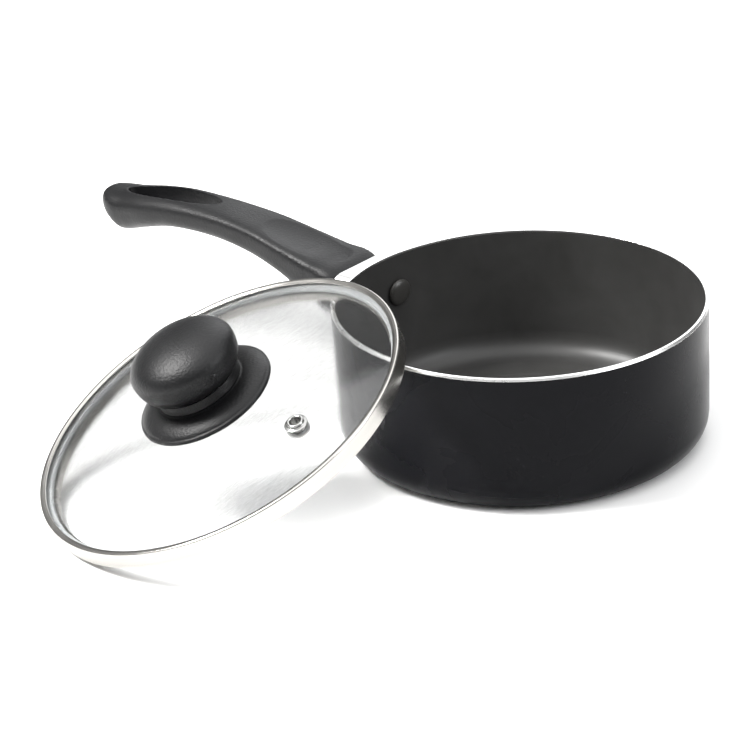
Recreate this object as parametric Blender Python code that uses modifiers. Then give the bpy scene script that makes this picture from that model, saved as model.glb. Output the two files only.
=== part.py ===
"""Small saucepan with a long handle and a domed glass lid that leans on its rim.

The pan stands on the plane z = 0 with its axis on Z, and the handle points along +X.
The lid is a separate assembly, built about its own axis under one empty.
"""

import math

import bmesh
import bpy
import numpy as np
from mathutils import Matrix, Vector

# Clearance between neighbouring pieces, and the number of sides of the round ones
GAP = 0.0003
LARGE_STEPS = 64
KNOB_STEPS = 40
SMALL_STEPS = 24

# Pan
PAN_RADIUS = 0.0820
PAN_HEIGHT = 0.0637
PAN_WALL = 0.0018
PAN_FLOOR = 0.0026
PAN_CORNER = 0.0127
PAN_DRAFT = 0.0007
RIM_BEVEL_WIDTH = 0.0006
RIM_BEVEL_HEIGHT = 0.0010
GROOVE_RADIUS = 0.0560
GROOVE_WIDTH = 0.0030
GROOVE_DEPTH = 0.0005

# Rivets
RIVET_SPACING = 0.0206
RIVET_DROP = 0.0185
RIVET_SHANK_RADIUS = 0.0022
RIVET_HEAD_RADIUS = 0.0061
RIVET_HEAD_HEIGHT = 0.0024
RIVET_TAIL_RADIUS = 0.0037
RIVET_TAIL_HEIGHT = 0.0018

# Bracket between the pan and the handle
BRACKET_SHEET = 0.0015
BRACKET_HALF_WIDTH = 0.0145
BRACKET_LOW = 0.0062
BRACKET_HIGH = 0.0062
TANG_WIDTH = 0.0120
TANG_THICKNESS = 0.0020
TANG_RISE = 0.0030
TANG_INSERTION = 0.0220

# Bright guard that covers the bracket
GUARD_LENGTH = 0.0118
GUARD_HALF_WIDTH = 0.0163
GUARD_TOP_DROP = 0.0052
GUARD_DEPTH = 0.0222
GUARD_CORNER = 0.0042
GUARD_SHEET = 0.0008

# Handle grip: stations along its length from the guard's end.
# Each is the share of the length, drop of the top below the rim, drop of the bottom,
# half width and squareness of the upper half. The lower half has one squareness.
GRIP_LENGTH = 0.1581
GRIP_STATIONS = (
    (0.000, 0.0061, 0.0272, 0.0164, 5.0),
    (0.019, 0.0045, 0.0284, 0.0174, 5.0),
    (0.114, 0.0023, 0.0240, 0.0165, 5.5),
    (0.228, -0.0006, 0.0159, 0.0150, 5.5),
    (0.342, -0.0038, 0.0108, 0.0136, 5.0),
    (0.455, -0.0057, 0.0083, 0.0129, 3.8),
    (0.582, -0.0066, 0.0078, 0.0130, 3.0),
    (0.702, -0.0062, 0.0095, 0.0136, 2.7),
    (0.796, -0.0045, 0.0133, 0.0139, 2.6),
    (0.889, -0.0020, 0.0175, 0.0130, 2.6),
    (1.000, -0.0002, 0.0179, 0.0120, 2.6),
)
GRIP_LOWER_SQUARENESS = 2.6
# The end: the lengths over which its sides, top and bottom close in on a point below the rim
GRIP_NOSE = 0.0160
GRIP_NOSE_SHAPE = 2.2
GRIP_NOSE_DROP = 0.0075
GRIP_BROW = 0.0036
GRIP_BROW_SHAPE = 2.44
GRIP_CHIN = 0.0158
GRIP_CHIN_SHAPE = 1.12
GRIP_SECTIONS = 30
GRIP_SIDES = 24
GRIP_SCREW_DISTANCE = 0.0140

# Slot for hanging the pan, and the shallow hollow for the thumb
SLOT_FROM_END = 0.0443
SLOT_HALF_LENGTH = 0.0297
SLOT_HALF_WIDTH = 0.0080
THUMB_CENTRE = 0.0289
THUMB_HALF_LENGTH = 0.0225
THUMB_HALF_WIDTH = 0.0120
THUMB_DEPTH = 0.0018
THUMB_ROUNDNESS = 0.0065

# Screw under the handle
GRIP_SCREW_RADIUS = 0.0019
GRIP_SCREW_HEAD_RADIUS = 0.0036
GRIP_SCREW_HEAD = 0.0024
GRIP_SCREW_WALL = 0.0036
GRIP_SCREW_REACH = 0.0026
WASHER_THICKNESS = 0.0008
THREAD_CLEARANCE = 0.0003

# Lid glass
GLASS_OVERHANG = 0.0022
GLASS_THICKNESS = 0.0040
GLASS_RISE = 0.0116
GLASS_EDGE_DROP = 0.0018
GLASS_HOLE_RADIUS = 0.0040

# Lid ring: band outside the pan, skirt inside it
RING_SHEET = 0.0007
RING_GLASS_CLEARANCE = 0.0005
LIP_WIDTH = 0.0029
LIP_ROUND = 0.0010
BAND_HEIGHT = 0.0078
SKIRT_CLEARANCE = 0.0006
SKIRT_DEPTH = 0.0107

# Where the leaning lid stands: from the pan's wall to the toe of the lid on the table
LID_TOE_DISTANCE = 0.1283
LID_AZIMUTH = math.radians(63.5)

# Steam vent
VENT_RADIUS = 0.0569
VENT_BEARING = math.radians(110.5)
VENT_FLANGE_RADIUS = 0.0050
VENT_COLLAR_RADIUS = 0.0037
VENT_COLLAR_HEIGHT = 0.0024
VENT_TUBE_RADIUS = 0.0030
VENT_BORE_RADIUS = 0.0023
VENT_SHEET = 0.0007
VENT_FLARE_RADIUS = 0.0040

# Knob
KNOB_RADIUS = 0.0241
KNOB_WAIST_RADIUS = 0.0183
KNOB_NECK_RADIUS = 0.0192
KNOB_NECK_HEIGHT = 0.0049
KNOB_UNDERSIDE = 0.0105
KNOB_DOME = 0.0113
BASE_RADIUS = 0.0305
BASE_EDGE = 0.0019
BASE_PLATEAU_HEIGHT = 0.0042
KNOB_SCREW_RADIUS = 0.0024
KNOB_SCREW_HEAD_RADIUS = 0.0050
KNOB_SCREW_HEAD = 0.0030
KNOB_SCREW_REACH = 0.0100
INSERT_RADIUS = 0.0046
INSERT_LENGTH = 0.0120
GASKET_RADIUS = 0.0090
GASKET_THICKNESS = 0.0010
KNOB_WASHER_RADIUS = 0.0085

# Worked out from the sizes above
GRIP_START = PAN_RADIUS + GAP + GUARD_LENGTH + GAP
RIVET_HEIGHT = PAN_HEIGHT - RIVET_DROP
RIVET_ANGLE = math.asin(RIVET_SPACING / 2 / PAN_RADIUS)
TANG_HEIGHT = RIVET_HEIGHT + TANG_RISE
BRACKET_RADIUS = PAN_RADIUS + GAP
GLASS_RADIUS = PAN_RADIUS + GLASS_OVERHANG
RING_RADIUS = GLASS_RADIUS + RING_GLASS_CLEARANCE + RING_SHEET
SKIRT_RADIUS = PAN_RADIUS - PAN_WALL - SKIRT_CLEARANCE


def clear_scene():
    for obj in list(bpy.data.objects):
        bpy.data.objects.remove(obj, do_unlink=True)


def make_collection(name):
    collection = bpy.data.collections.new(name)
    bpy.context.scene.collection.children.link(collection)
    return collection


def make_material(name, colour, roughness, metallic=0.0, transmission=0.0):
    material = bpy.data.materials.new(name)
    material.use_nodes = True
    shader = material.node_tree.nodes["Principled BSDF"]
    shader.inputs["Base Color"].default_value = (*colour, 1.0)
    shader.inputs["Roughness"].default_value = roughness
    shader.inputs["Metallic"].default_value = metallic
    shader.inputs["Transmission Weight"].default_value = transmission
    return material


def place(obj, material=None, parent=None):
    """Puts an object among the parts, or among the cutters when it has no material."""
    if material:
        PARTS.objects.link(obj)
        obj.data.materials.append(material)
    else:
        CUTTERS.objects.link(obj)
        obj.hide_render = True
        obj.display_type = "WIRE"
    obj.parent = parent
    return obj


def arc(centre, radius, start, end, count):
    """Points of an arc in the profile plane, angles in degrees from +X towards +Z."""
    angles = [math.radians(start + (end - start) * i / (count - 1)) for i in range(count)]
    return [(centre[0] + radius * math.cos(a), centre[1] + radius * math.sin(a)) for a in angles]


def turned(name, profile, steps, material=None, parent=None, closed=False):
    """Turns a profile of (radius, height) points round Z. Its outer side runs downwards."""
    mesh = bpy.data.meshes.new(name)
    bm = bmesh.new()
    points = [bm.verts.new((radius, 0.0, height)) for radius, height in profile]
    for first, second in zip(points, points[1:]):
        bm.edges.new((first, second))
    if closed:
        bm.edges.new((points[-1], points[0]))
    bm.to_mesh(mesh)
    bm.free()
    obj = place(bpy.data.objects.new(name, mesh), material, parent)
    screw = obj.modifiers.new("turn", "SCREW")
    screw.axis = "Z"
    screw.angle = math.tau
    screw.steps = steps
    screw.render_steps = steps
    screw.use_merge_vertices = True
    screw.merge_threshold = 0.00001
    screw.use_smooth_shade = True
    return obj


def ring_profile(inner, outer, low, high):
    return [(outer, high), (outer, low), (inner, low), (inner, high)]


def cylinder(name, radius, low, high, steps, material=None, parent=None):
    """A plain round bar along its own Z, from low to high."""
    mesh = bpy.data.meshes.new(name)
    bm = bmesh.new()
    middle = Matrix.Translation((0, 0, (low + high) / 2))
    bmesh.ops.create_cone(
        bm, cap_ends=True, segments=steps, radius1=radius, radius2=radius, depth=high - low, matrix=middle
    )
    bm.to_mesh(mesh)
    bm.free()
    return place(bpy.data.objects.new(name, mesh), material, parent)


def box(name, low, high, material=None, corner=0.0, along=None):
    """A box between two corners. The edges along one axis can be rounded."""
    mesh = bpy.data.meshes.new(name)
    bm = bmesh.new()
    low, high = Vector(low), Vector(high)
    size = high - low
    fit = Matrix.Translation((low + high) / 2) @ Matrix.Diagonal((*size, 1.0))
    bmesh.ops.create_cube(bm, size=1.0, matrix=fit)
    if corner:
        axis = "xyz".index(along)
        edges = [e for e in bm.edges if abs((e.verts[0].co - e.verts[1].co)[axis]) > size[axis] / 2]
        bmesh.ops.bevel(bm, geom=edges, offset=corner, segments=4, profile=0.5, affect="EDGES")
    bm.to_mesh(mesh)
    bm.free()
    return place(bpy.data.objects.new(name, mesh), material)


def combine(obj, other, operation="DIFFERENCE"):
    modifier = obj.modifiers.new(operation.lower() + "_" + other.name, "BOOLEAN")
    modifier.operation = operation
    modifier.object = other
    modifier.solver = "EXACT"


def radial_matrix(angle, height):
    """A frame on the pan's axis whose Z points outwards at an angle about the axis."""
    facing = Matrix.Rotation(angle, 4, "Z") @ Matrix.Rotation(math.pi / 2, 4, "Y")
    return Matrix.Translation((0, 0, height)) @ facing


# Pan, rivets and bracket


def pan_profile():
    wall_foot = PAN_RADIUS - PAN_DRAFT
    outer_centre = (wall_foot - PAN_CORNER, PAN_CORNER)
    inner_corner = PAN_CORNER - PAN_WALL
    inner_centre = (outer_centre[0], PAN_FLOOR + inner_corner)
    profile = [(0.0, PAN_FLOOR)]
    profile += arc(inner_centre, inner_corner, -90, 0, 6)
    profile += [
        (PAN_RADIUS - PAN_WALL, PAN_HEIGHT - RIM_BEVEL_WIDTH / 3),
        (PAN_RADIUS - PAN_WALL + RIM_BEVEL_WIDTH / 3, PAN_HEIGHT),
        (PAN_RADIUS - RIM_BEVEL_WIDTH, PAN_HEIGHT),
        (PAN_RADIUS, PAN_HEIGHT - RIM_BEVEL_HEIGHT),
    ]
    profile += arc(outer_centre, PAN_CORNER, 0, -90, 7)
    profile += [
        (GROOVE_RADIUS + GROOVE_WIDTH / 2, 0.0),
        (GROOVE_RADIUS + GROOVE_WIDTH / 2 - GROOVE_DEPTH, GROOVE_DEPTH),
        (GROOVE_RADIUS - GROOVE_WIDTH / 2 + GROOVE_DEPTH, GROOVE_DEPTH),
        (GROOVE_RADIUS - GROOVE_WIDTH / 2, 0.0),
        (0.0, 0.0),
    ]
    return profile


def make_pan():
    pan = turned("pan_body", pan_profile(), LARGE_STEPS, ENAMEL)
    for side, angle in RIVET_SIDES:
        hole = cylinder(
            "pan_hole_" + side, RIVET_SHANK_RADIUS + GAP, PAN_RADIUS * 0.8, PAN_RADIUS * 1.2, SMALL_STEPS
        )
        hole.matrix_world = radial_matrix(angle, RIVET_HEIGHT)
        combine(pan, hole)


def rivet_profile():
    """Head inside the pan, shank through wall and bracket, tail outside."""
    wall_inside = PAN_RADIUS - PAN_WALL - PAN_DRAFT
    sagitta = RIVET_HEAD_RADIUS**2 / (2 * wall_inside)
    seat = wall_inside - sagitta - GAP
    tail = BRACKET_RADIUS + BRACKET_SHEET + GAP
    dome = [
        (RIVET_HEAD_RADIUS * math.cos(a), seat - 0.0005 - (RIVET_HEAD_HEIGHT - 0.0005) * math.sin(a))
        for a in np.linspace(0.0, math.pi / 2, 6)
    ]
    dome[-1] = (0.0, seat - RIVET_HEAD_HEIGHT)
    head = [(RIVET_SHANK_RADIUS, seat), (RIVET_HEAD_RADIUS, seat)] + dome
    crown = [
        (RIVET_TAIL_RADIUS * math.cos(a), tail + RIVET_TAIL_HEIGHT * math.sin(a))
        for a in np.linspace(math.pi / 2, 0.0, 5)
    ]
    crown[0] = (0.0, tail + RIVET_TAIL_HEIGHT)
    return crown + [(RIVET_SHANK_RADIUS, tail)] + head


def make_rivets():
    for side, angle in RIVET_SIDES:
        rivet = turned("rivet_" + side, rivet_profile(), SMALL_STEPS, RIVET_METAL)
        rivet.matrix_world = radial_matrix(angle, RIVET_HEIGHT)


def make_bracket():
    low = RIVET_HEIGHT - BRACKET_LOW
    high = RIVET_HEIGHT + BRACKET_HIGH
    reach = BRACKET_RADIUS + BRACKET_SHEET
    plate = box(
        "handle_bracket",
        (BRACKET_RADIUS * 0.9, -BRACKET_HALF_WIDTH, low),
        (reach + 0.001, BRACKET_HALF_WIDTH, high),
        STEEL,
        0.003,
        "x",
    )
    shell = turned(
        "bracket_curve",
        ring_profile(BRACKET_RADIUS, reach, low - 0.01, high + 0.01),
        LARGE_STEPS,
        closed=True,
    )
    combine(plate, shell, "INTERSECT")
    half = TANG_THICKNESS / 2
    tang = box(
        "bracket_tang",
        (BRACKET_RADIUS + BRACKET_SHEET / 2, -TANG_WIDTH / 2, TANG_HEIGHT - half),
        (GRIP_START + TANG_INSERTION, TANG_WIDTH / 2, TANG_HEIGHT + half),
        corner=TANG_WIDTH / 5,
        along="z",
    )
    combine(plate, tang, "UNION")
    for side, angle in RIVET_SIDES:
        hole = cylinder(
            "bracket_hole_" + side, RIVET_SHANK_RADIUS + GAP, PAN_RADIUS * 0.9, PAN_RADIUS * 1.1, SMALL_STEPS
        )
        hole.matrix_world = radial_matrix(angle, RIVET_HEIGHT)
        combine(plate, hole)
    thread = cylinder(
        "bracket_thread_hole",
        GRIP_SCREW_RADIUS + THREAD_CLEARANCE,
        TANG_HEIGHT - 0.01,
        TANG_HEIGHT + 0.01,
        SMALL_STEPS,
    )
    thread.location.x = GRIP_START + GRIP_SCREW_DISTANCE
    combine(plate, thread)


def make_guard():
    """A sleeve from the pan's wall to the handle, its near end cut to the pan's curve."""
    top = PAN_HEIGHT - GUARD_TOP_DROP
    start = PAN_RADIUS * 0.85
    end = GRIP_START - GAP
    guard = box(
        "flame_guard",
        (start, -GUARD_HALF_WIDTH, top - GUARD_DEPTH),
        (end, GUARD_HALF_WIDTH, top),
        BRIGHT,
        GUARD_CORNER,
        "x",
    )
    hollow = box(
        "guard_hollow",
        (start - 0.01, GUARD_SHEET - GUARD_HALF_WIDTH, top - GUARD_DEPTH + GUARD_SHEET),
        (end + 0.01, GUARD_HALF_WIDTH - GUARD_SHEET, top - GUARD_SHEET),
        corner=GUARD_CORNER - GUARD_SHEET,
        along="x",
    )
    combine(guard, hollow)
    curve = cylinder("guard_curve", PAN_RADIUS + GAP, -PAN_HEIGHT, PAN_HEIGHT * 2, LARGE_STEPS)
    combine(guard, curve)


# Handle grip


def smooth_row(distance):
    """The grip's values at a distance along it: a smooth curve through the stations."""
    rows = np.array(GRIP_STATIONS)
    at = rows[:, 0] * GRIP_LENGTH
    slopes = np.gradient(rows[:, 1:], at, axis=0)
    i = int(np.clip(np.searchsorted(at, distance) - 1, 0, len(at) - 2))
    span = at[i + 1] - at[i]
    t = (distance - at[i]) / span
    start, end = rows[i, 1:], rows[i + 1, 1:]
    return (
        start * (1 + 2 * t) * (1 - t) ** 2
        + slopes[i] * span * t * (1 - t) ** 2
        + end * t**2 * (3 - 2 * t)
        + slopes[i + 1] * span * t**2 * (t - 1)
    )


def closing(distance, length, shape):
    """Share of its size that the grip keeps at a distance, where its end rounds off."""
    into = max((distance - GRIP_LENGTH) / length + 1, 0.0)
    return max(1 - into**shape, 0.0) ** (1 / shape)


def grip_section(distance):
    """Centre height, half height, half width and upper squareness of the grip at a distance."""
    top, bottom, half_width, square = smooth_row(distance)
    brow = closing(distance, GRIP_BROW, GRIP_BROW_SHAPE)
    chin = closing(distance, GRIP_CHIN, GRIP_CHIN_SHAPE)
    top = GRIP_NOSE_DROP + (top - GRIP_NOSE_DROP) * brow
    bottom = GRIP_NOSE_DROP + (bottom - GRIP_NOSE_DROP) * chin
    half_width *= closing(distance, GRIP_NOSE, GRIP_NOSE_SHAPE)
    return PAN_HEIGHT - (top + bottom) / 2, (bottom - top) / 2, half_width, square


def grip_distances():
    """Sections crowd towards the bevelled start and the rounded nose."""
    body = np.linspace(GRIP_LENGTH * 0.019, GRIP_LENGTH - GRIP_NOSE, GRIP_SECTIONS - 9)
    nose = GRIP_LENGTH - GRIP_NOSE * (1 - np.sin(np.linspace(0.0, math.pi / 2, 9)[1:-1]))
    return [0.0, *body, *nose, GRIP_LENGTH - GRIP_NOSE * 0.004]


def make_grip():
    mesh = bpy.data.meshes.new("handle_grip")
    bm = bmesh.new()
    rings = []
    for distance in grip_distances():
        centre, half_height, half_width, square = grip_section(distance)
        ring = []
        for k in range(GRIP_SIDES):
            angle = math.tau * k / GRIP_SIDES
            power = 2 / (square if k < GRIP_SIDES / 2 else GRIP_LOWER_SQUARENESS)
            y = half_width * math.copysign(abs(math.cos(angle)) ** power, math.cos(angle))
            z = half_height * math.copysign(abs(math.sin(angle)) ** power, math.sin(angle))
            ring.append(bm.verts.new((GRIP_START + distance, y, centre + z)))
        rings.append(ring)
    for first, second in zip(rings, rings[1:]):
        for k in range(GRIP_SIDES):
            after = (k + 1) % GRIP_SIDES
            bm.faces.new((first[k], first[after], second[after], second[k]))
    bm.faces.new(rings[0])
    bm.faces.new(rings[-1])
    bmesh.ops.recalc_face_normals(bm, faces=bm.faces)
    bm.to_mesh(mesh)
    bm.free()
    grip = place(bpy.data.objects.new("handle_grip", mesh), PHENOLIC)
    mesh.shade_smooth()
    mesh.set_sharp_from_angle(angle=math.radians(35))
    cut_slot(grip)
    cut_thumb_hollow(grip)
    cut_tang_pocket(grip)


def cut_slot(grip):
    slot = cylinder("slot_cutter", 1.0, 0.0, PAN_HEIGHT * 2, 36)
    slot.data.transform(Matrix.Diagonal((SLOT_HALF_LENGTH, SLOT_HALF_WIDTH, 1.0, 1.0)))
    slot.location.x = GRIP_START + GRIP_LENGTH - SLOT_FROM_END
    combine(grip, slot)


def cut_thumb_hollow(grip):
    """A slice of a long ellipsoid, laid along the top of the grip."""
    ends = [THUMB_CENTRE - THUMB_HALF_LENGTH, THUMB_CENTRE + THUMB_HALF_LENGTH]
    low, high = [PAN_HEIGHT - smooth_row(d)[0] for d in ends]
    slope = math.atan2(high - low, ends[1] - ends[0])
    rise = THUMB_ROUNDNESS - THUMB_DEPTH
    share = math.sqrt(1 - (rise / THUMB_ROUNDNESS) ** 2)
    mesh = bpy.data.meshes.new("thumb_cutter")
    bm = bmesh.new()
    bmesh.ops.create_uvsphere(bm, u_segments=28, v_segments=15, radius=1.0)
    bm.to_mesh(mesh)
    bm.free()
    half_sizes = (THUMB_HALF_LENGTH / share, THUMB_HALF_WIDTH / share, THUMB_ROUNDNESS, 1.0)
    mesh.transform(Matrix.Diagonal(half_sizes))
    cutter = place(bpy.data.objects.new("thumb_cutter", mesh))
    surface = PAN_HEIGHT - smooth_row(THUMB_CENTRE)[0]
    cutter.location = (GRIP_START + THUMB_CENTRE, 0.0, surface + rise)
    cutter.rotation_euler.y = -slope
    combine(grip, cutter)


def grip_underside():
    """Height of the grip's lowest line at its screw."""
    centre, half_height, _, _ = grip_section(GRIP_SCREW_DISTANCE)
    return centre - half_height


def screw_seat():
    """Height of the shoulder that the washer presses against, below the tang's pocket."""
    return TANG_HEIGHT - TANG_THICKNESS / 2 - GAP - GRIP_SCREW_WALL


def cut_tang_pocket(grip):
    half = TANG_THICKNESS / 2 + GAP
    pocket = box(
        "pocket_cutter",
        (GRIP_START - 0.01, -TANG_WIDTH / 2 - GAP, TANG_HEIGHT - half),
        (GRIP_START + TANG_INSERTION + GAP, TANG_WIDTH / 2 + GAP, TANG_HEIGHT + half),
        corner=TANG_WIDTH / 5,
        along="z",
    )
    combine(grip, pocket)
    top = TANG_HEIGHT + half + GRIP_SCREW_REACH + GAP
    bore = GRIP_SCREW_RADIUS + THREAD_CLEARANCE
    mouth = GRIP_SCREW_HEAD_RADIUS + 2 * GAP
    seat = screw_seat()
    shaft = cylinder("screw_shaft_cutter", bore, seat - 0.001, top, SMALL_STEPS)
    well = cylinder("screw_well_cutter", mouth, grip_underside() - 0.01, seat, SMALL_STEPS)
    for cutter in (shaft, well):
        cutter.location.x = GRIP_START + GRIP_SCREW_DISTANCE
        combine(grip, cutter)


def make_grip_screw():
    washer_top = screw_seat() - GAP
    washer_low = washer_top - WASHER_THICKNESS
    bore = GRIP_SCREW_RADIUS + THREAD_CLEARANCE
    section = ring_profile(bore, GRIP_SCREW_HEAD_RADIUS, washer_low, washer_top)
    washer = turned("handle_washer", section, SMALL_STEPS, STEEL, closed=True)
    screw = make_screw(
        "handle_screw",
        GRIP_SCREW_RADIUS,
        GRIP_SCREW_HEAD_RADIUS,
        GRIP_SCREW_HEAD,
        washer_low - GAP,
        TANG_HEIGHT + TANG_THICKNESS / 2 + GRIP_SCREW_REACH,
    )
    for piece in (washer, screw):
        piece.location.x = GRIP_START + GRIP_SCREW_DISTANCE


def make_screw(name, radius, head_radius, head_height, seat, tip, parent=None):
    """Screw that points up, its domed head below the seat with a cross recess."""
    low = seat - head_height
    dome = [
        (head_radius * math.cos(a), low + head_height * 0.6 * (1 - math.sin(a)))
        for a in np.linspace(0.0, math.pi / 2, 5)
    ]
    dome[-1] = (0.0, low)
    shaft = [(0.0, tip), (radius * 0.7, tip), (radius, tip - radius * 0.6), (radius, seat)]
    screw = turned(name, shaft + [(head_radius, seat)] + dome, SMALL_STEPS, STEEL, parent)
    for turn in (0.0, math.pi / 2):
        slot = box(
            name + "_slot_" + str(round(math.degrees(turn))),
            (-head_radius * 0.55, -head_radius * 0.1, low - 0.001),
            (head_radius * 0.55, head_radius * 0.1, low + head_height * 0.45),
        )
        slot.data.transform(Matrix.Rotation(turn, 4, "Z"))
        slot.parent = parent
        if parent is None:
            slot.location.x = GRIP_START + GRIP_SCREW_DISTANCE
        combine(screw, slot)
    return screw


# Lid


def glass_top(radius):
    return -GLASS_EDGE_DROP + GLASS_RISE * (1 - (radius / GLASS_RADIUS) ** 2)


def glass_underside(radius):
    return glass_top(radius) - GLASS_THICKNESS


def lid_underside(radius):
    """Lowest level of the lid at a distance from its axis: glass, skirt, then band."""
    inner_skirt = SKIRT_RADIUS - RING_SHEET - GAP
    if radius > RING_RADIUS + GAP:
        return math.inf
    if radius > SKIRT_RADIUS + GAP:
        return -BAND_HEIGHT
    return -SKIRT_DEPTH if radius > inner_skirt else glass_underside(radius)


def lid_matrix(tilt):
    """The lid's frame when it stands on its toe and tilts: X runs down the slope."""
    down = Vector((math.cos(tilt), 0.0, -math.sin(tilt)))
    normal = Vector((math.sin(tilt), 0.0, math.cos(tilt)))
    toe = Vector((PAN_RADIUS + LID_TOE_DISTANCE, 0.0, 0.0))
    centre = toe - down * SKIRT_RADIUS + normal * SKIRT_DEPTH
    turn = Matrix.Rotation(LID_AZIMUTH, 4, "Z")
    return turn @ Matrix.Translation(centre) @ Matrix.Rotation(tilt, 4, "Y")


def rim_clearance(tilt):
    """Least height of the lid's underside over the rim, measured along the lid's axis."""
    to_lid = lid_matrix(tilt).inverted()
    least = math.inf
    for radius in (PAN_RADIUS - RIM_BEVEL_WIDTH, PAN_RADIUS - PAN_WALL):
        for k in range(720):
            angle = math.tau * k / 720
            point = to_lid @ Vector((radius * math.cos(angle), radius * math.sin(angle), PAN_HEIGHT))
            least = min(least, lid_underside(math.hypot(point.x, point.y)) - point.z)
    return least


def leaning_tilt():
    """The tilt at which the lid comes down on the rim, found by halving the interval."""
    low, high = math.radians(5), math.radians(60)
    for _ in range(30):
        middle = (low + high) / 2
        if rim_clearance(middle) > GAP:
            high = middle
        else:
            low = middle
    return high


def make_lid_frame():
    frame = bpy.data.objects.new("lid_axis", None)
    frame.empty_display_size = 0.03
    PARTS.objects.link(frame)
    frame.matrix_world = lid_matrix(leaning_tilt())
    return frame


def make_glass():
    radii = np.linspace(GLASS_HOLE_RADIUS, GLASS_RADIUS - 0.0010, 8)
    top = [(r, glass_top(r)) for r in radii]
    edge_top, edge_low = glass_top(GLASS_RADIUS), glass_underside(GLASS_RADIUS)
    edge = [(GLASS_RADIUS, edge_top - 0.0010), (GLASS_RADIUS, edge_low + 0.0010)]
    below = [(r, glass_underside(r)) for r in reversed(radii)]
    glass = turned("lid_glass", top + edge + below, LARGE_STEPS, GLASS, LID, closed=True)
    hole = cylinder("vent_hole_cutter", VENT_TUBE_RADIUS + GAP, -0.01, 0.01, SMALL_STEPS, parent=LID)
    hole.matrix_local = vent_frame()
    combine(glass, hole)


def make_ring():
    """Lip over the glass, band outside, seat on the pan's rim, skirt inside the pan."""
    inside = RING_RADIUS - RING_SHEET
    lip = RING_RADIUS - LIP_WIDTH
    lip_low = glass_top(lip) + GAP
    seat_top = RING_SHEET - BAND_HEIGHT
    inner_skirt = SKIRT_RADIUS - RING_SHEET
    profile = [(lip, lip_low + RING_SHEET * 0.8), (lip + RING_SHEET * 0.5, lip_low + RING_SHEET)]
    profile += arc((RING_RADIUS - LIP_ROUND, -LIP_ROUND), LIP_ROUND, 90, 0, 4)
    profile += [
        (RING_RADIUS - 0.0001, RING_SHEET * 0.5 - BAND_HEIGHT),
        (RING_RADIUS - RING_SHEET * 0.5, -BAND_HEIGHT),
        (SKIRT_RADIUS + RING_SHEET * 0.4, -BAND_HEIGHT),
        (SKIRT_RADIUS, -BAND_HEIGHT - RING_SHEET * 0.4),
        (SKIRT_RADIUS, RING_SHEET * 0.3 - SKIRT_DEPTH),
        (SKIRT_RADIUS - RING_SHEET * 0.3, -SKIRT_DEPTH),
        (inner_skirt, RING_SHEET * 0.3 - SKIRT_DEPTH),
        (inner_skirt, seat_top - RING_SHEET * 0.4),
        (inner_skirt + RING_SHEET * 0.4, seat_top),
        (inside, seat_top),
        (inside, -LIP_ROUND),
        (inside - RING_SHEET * 0.4, glass_top(GLASS_RADIUS) + GAP + RING_SHEET * 0.4),
        (lip, lip_low),
    ]
    turned("lid_ring", profile, LARGE_STEPS, BRUSHED, LID, closed=True)


def make_bead():
    """Sealant that beds the glass on the ring's seat."""
    inner = SKIRT_RADIUS + GAP
    outer = GLASS_RADIUS - 0.0005
    low = RING_SHEET - BAND_HEIGHT + GAP
    profile = [
        (outer, glass_underside(outer) - GAP),
        (outer, low),
        (inner, low),
        (inner, glass_underside(inner) - GAP),
    ]
    turned("sealing_bead", profile, LARGE_STEPS, SILICONE, LID, closed=True)


def vent_frame():
    """The vent stands square to the glass, with its origin on the glass's upper face."""
    x = VENT_RADIUS * math.cos(VENT_BEARING)
    y = VENT_RADIUS * math.sin(VENT_BEARING)
    lean = math.atan(2 * GLASS_RISE * VENT_RADIUS / GLASS_RADIUS**2)
    turn = Matrix.Rotation(VENT_BEARING, 4, "Z") @ Matrix.Rotation(lean, 4, "Y")
    return Matrix.Translation((x, y, glass_top(VENT_RADIUS))) @ turn


def make_vent():
    washer_top = -GLASS_THICKNESS - GAP
    washer_low = washer_top - VENT_SHEET
    flare_top = washer_low - GAP
    collar_low = GAP + VENT_SHEET
    roll = VENT_COLLAR_RADIUS - VENT_BORE_RADIUS
    crown = arc((VENT_BORE_RADIUS + roll / 2, VENT_COLLAR_HEIGHT - roll / 2), roll / 2, 180, 0, 6)
    profile = crown + [
        (VENT_COLLAR_RADIUS, collar_low + 0.0003),
        (VENT_FLANGE_RADIUS - 0.0004, collar_low),
        (VENT_FLANGE_RADIUS, GAP + VENT_SHEET * 0.4),
        (VENT_FLANGE_RADIUS - 0.0003, GAP),
        (VENT_TUBE_RADIUS, GAP),
        (VENT_TUBE_RADIUS, flare_top),
        (VENT_FLARE_RADIUS, flare_top),
        (VENT_FLARE_RADIUS, flare_top - VENT_SHEET),
        (VENT_BORE_RADIUS, flare_top - VENT_SHEET * 1.4),
    ]
    eyelet = turned("vent_eyelet", profile, SMALL_STEPS, STEEL, LID, closed=True)
    washer = turned(
        "vent_washer",
        ring_profile(VENT_TUBE_RADIUS + GAP, VENT_FLANGE_RADIUS, washer_low, washer_top),
        SMALL_STEPS,
        STEEL,
        LID,
        closed=True,
    )
    for piece in (eyelet, washer):
        piece.matrix_local = vent_frame()


# Knob, built up from the glass


def base_seat():
    """Underside of the knob's base, above the gasket."""
    return glass_top(0.0) + GAP + GASKET_THICKNESS + GAP


def knob_seat():
    """Underside of the knob: the plateau of its base is just below."""
    return glass_top(BASE_RADIUS) + GAP + BASE_EDGE + BASE_PLATEAU_HEIGHT + GAP


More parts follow.
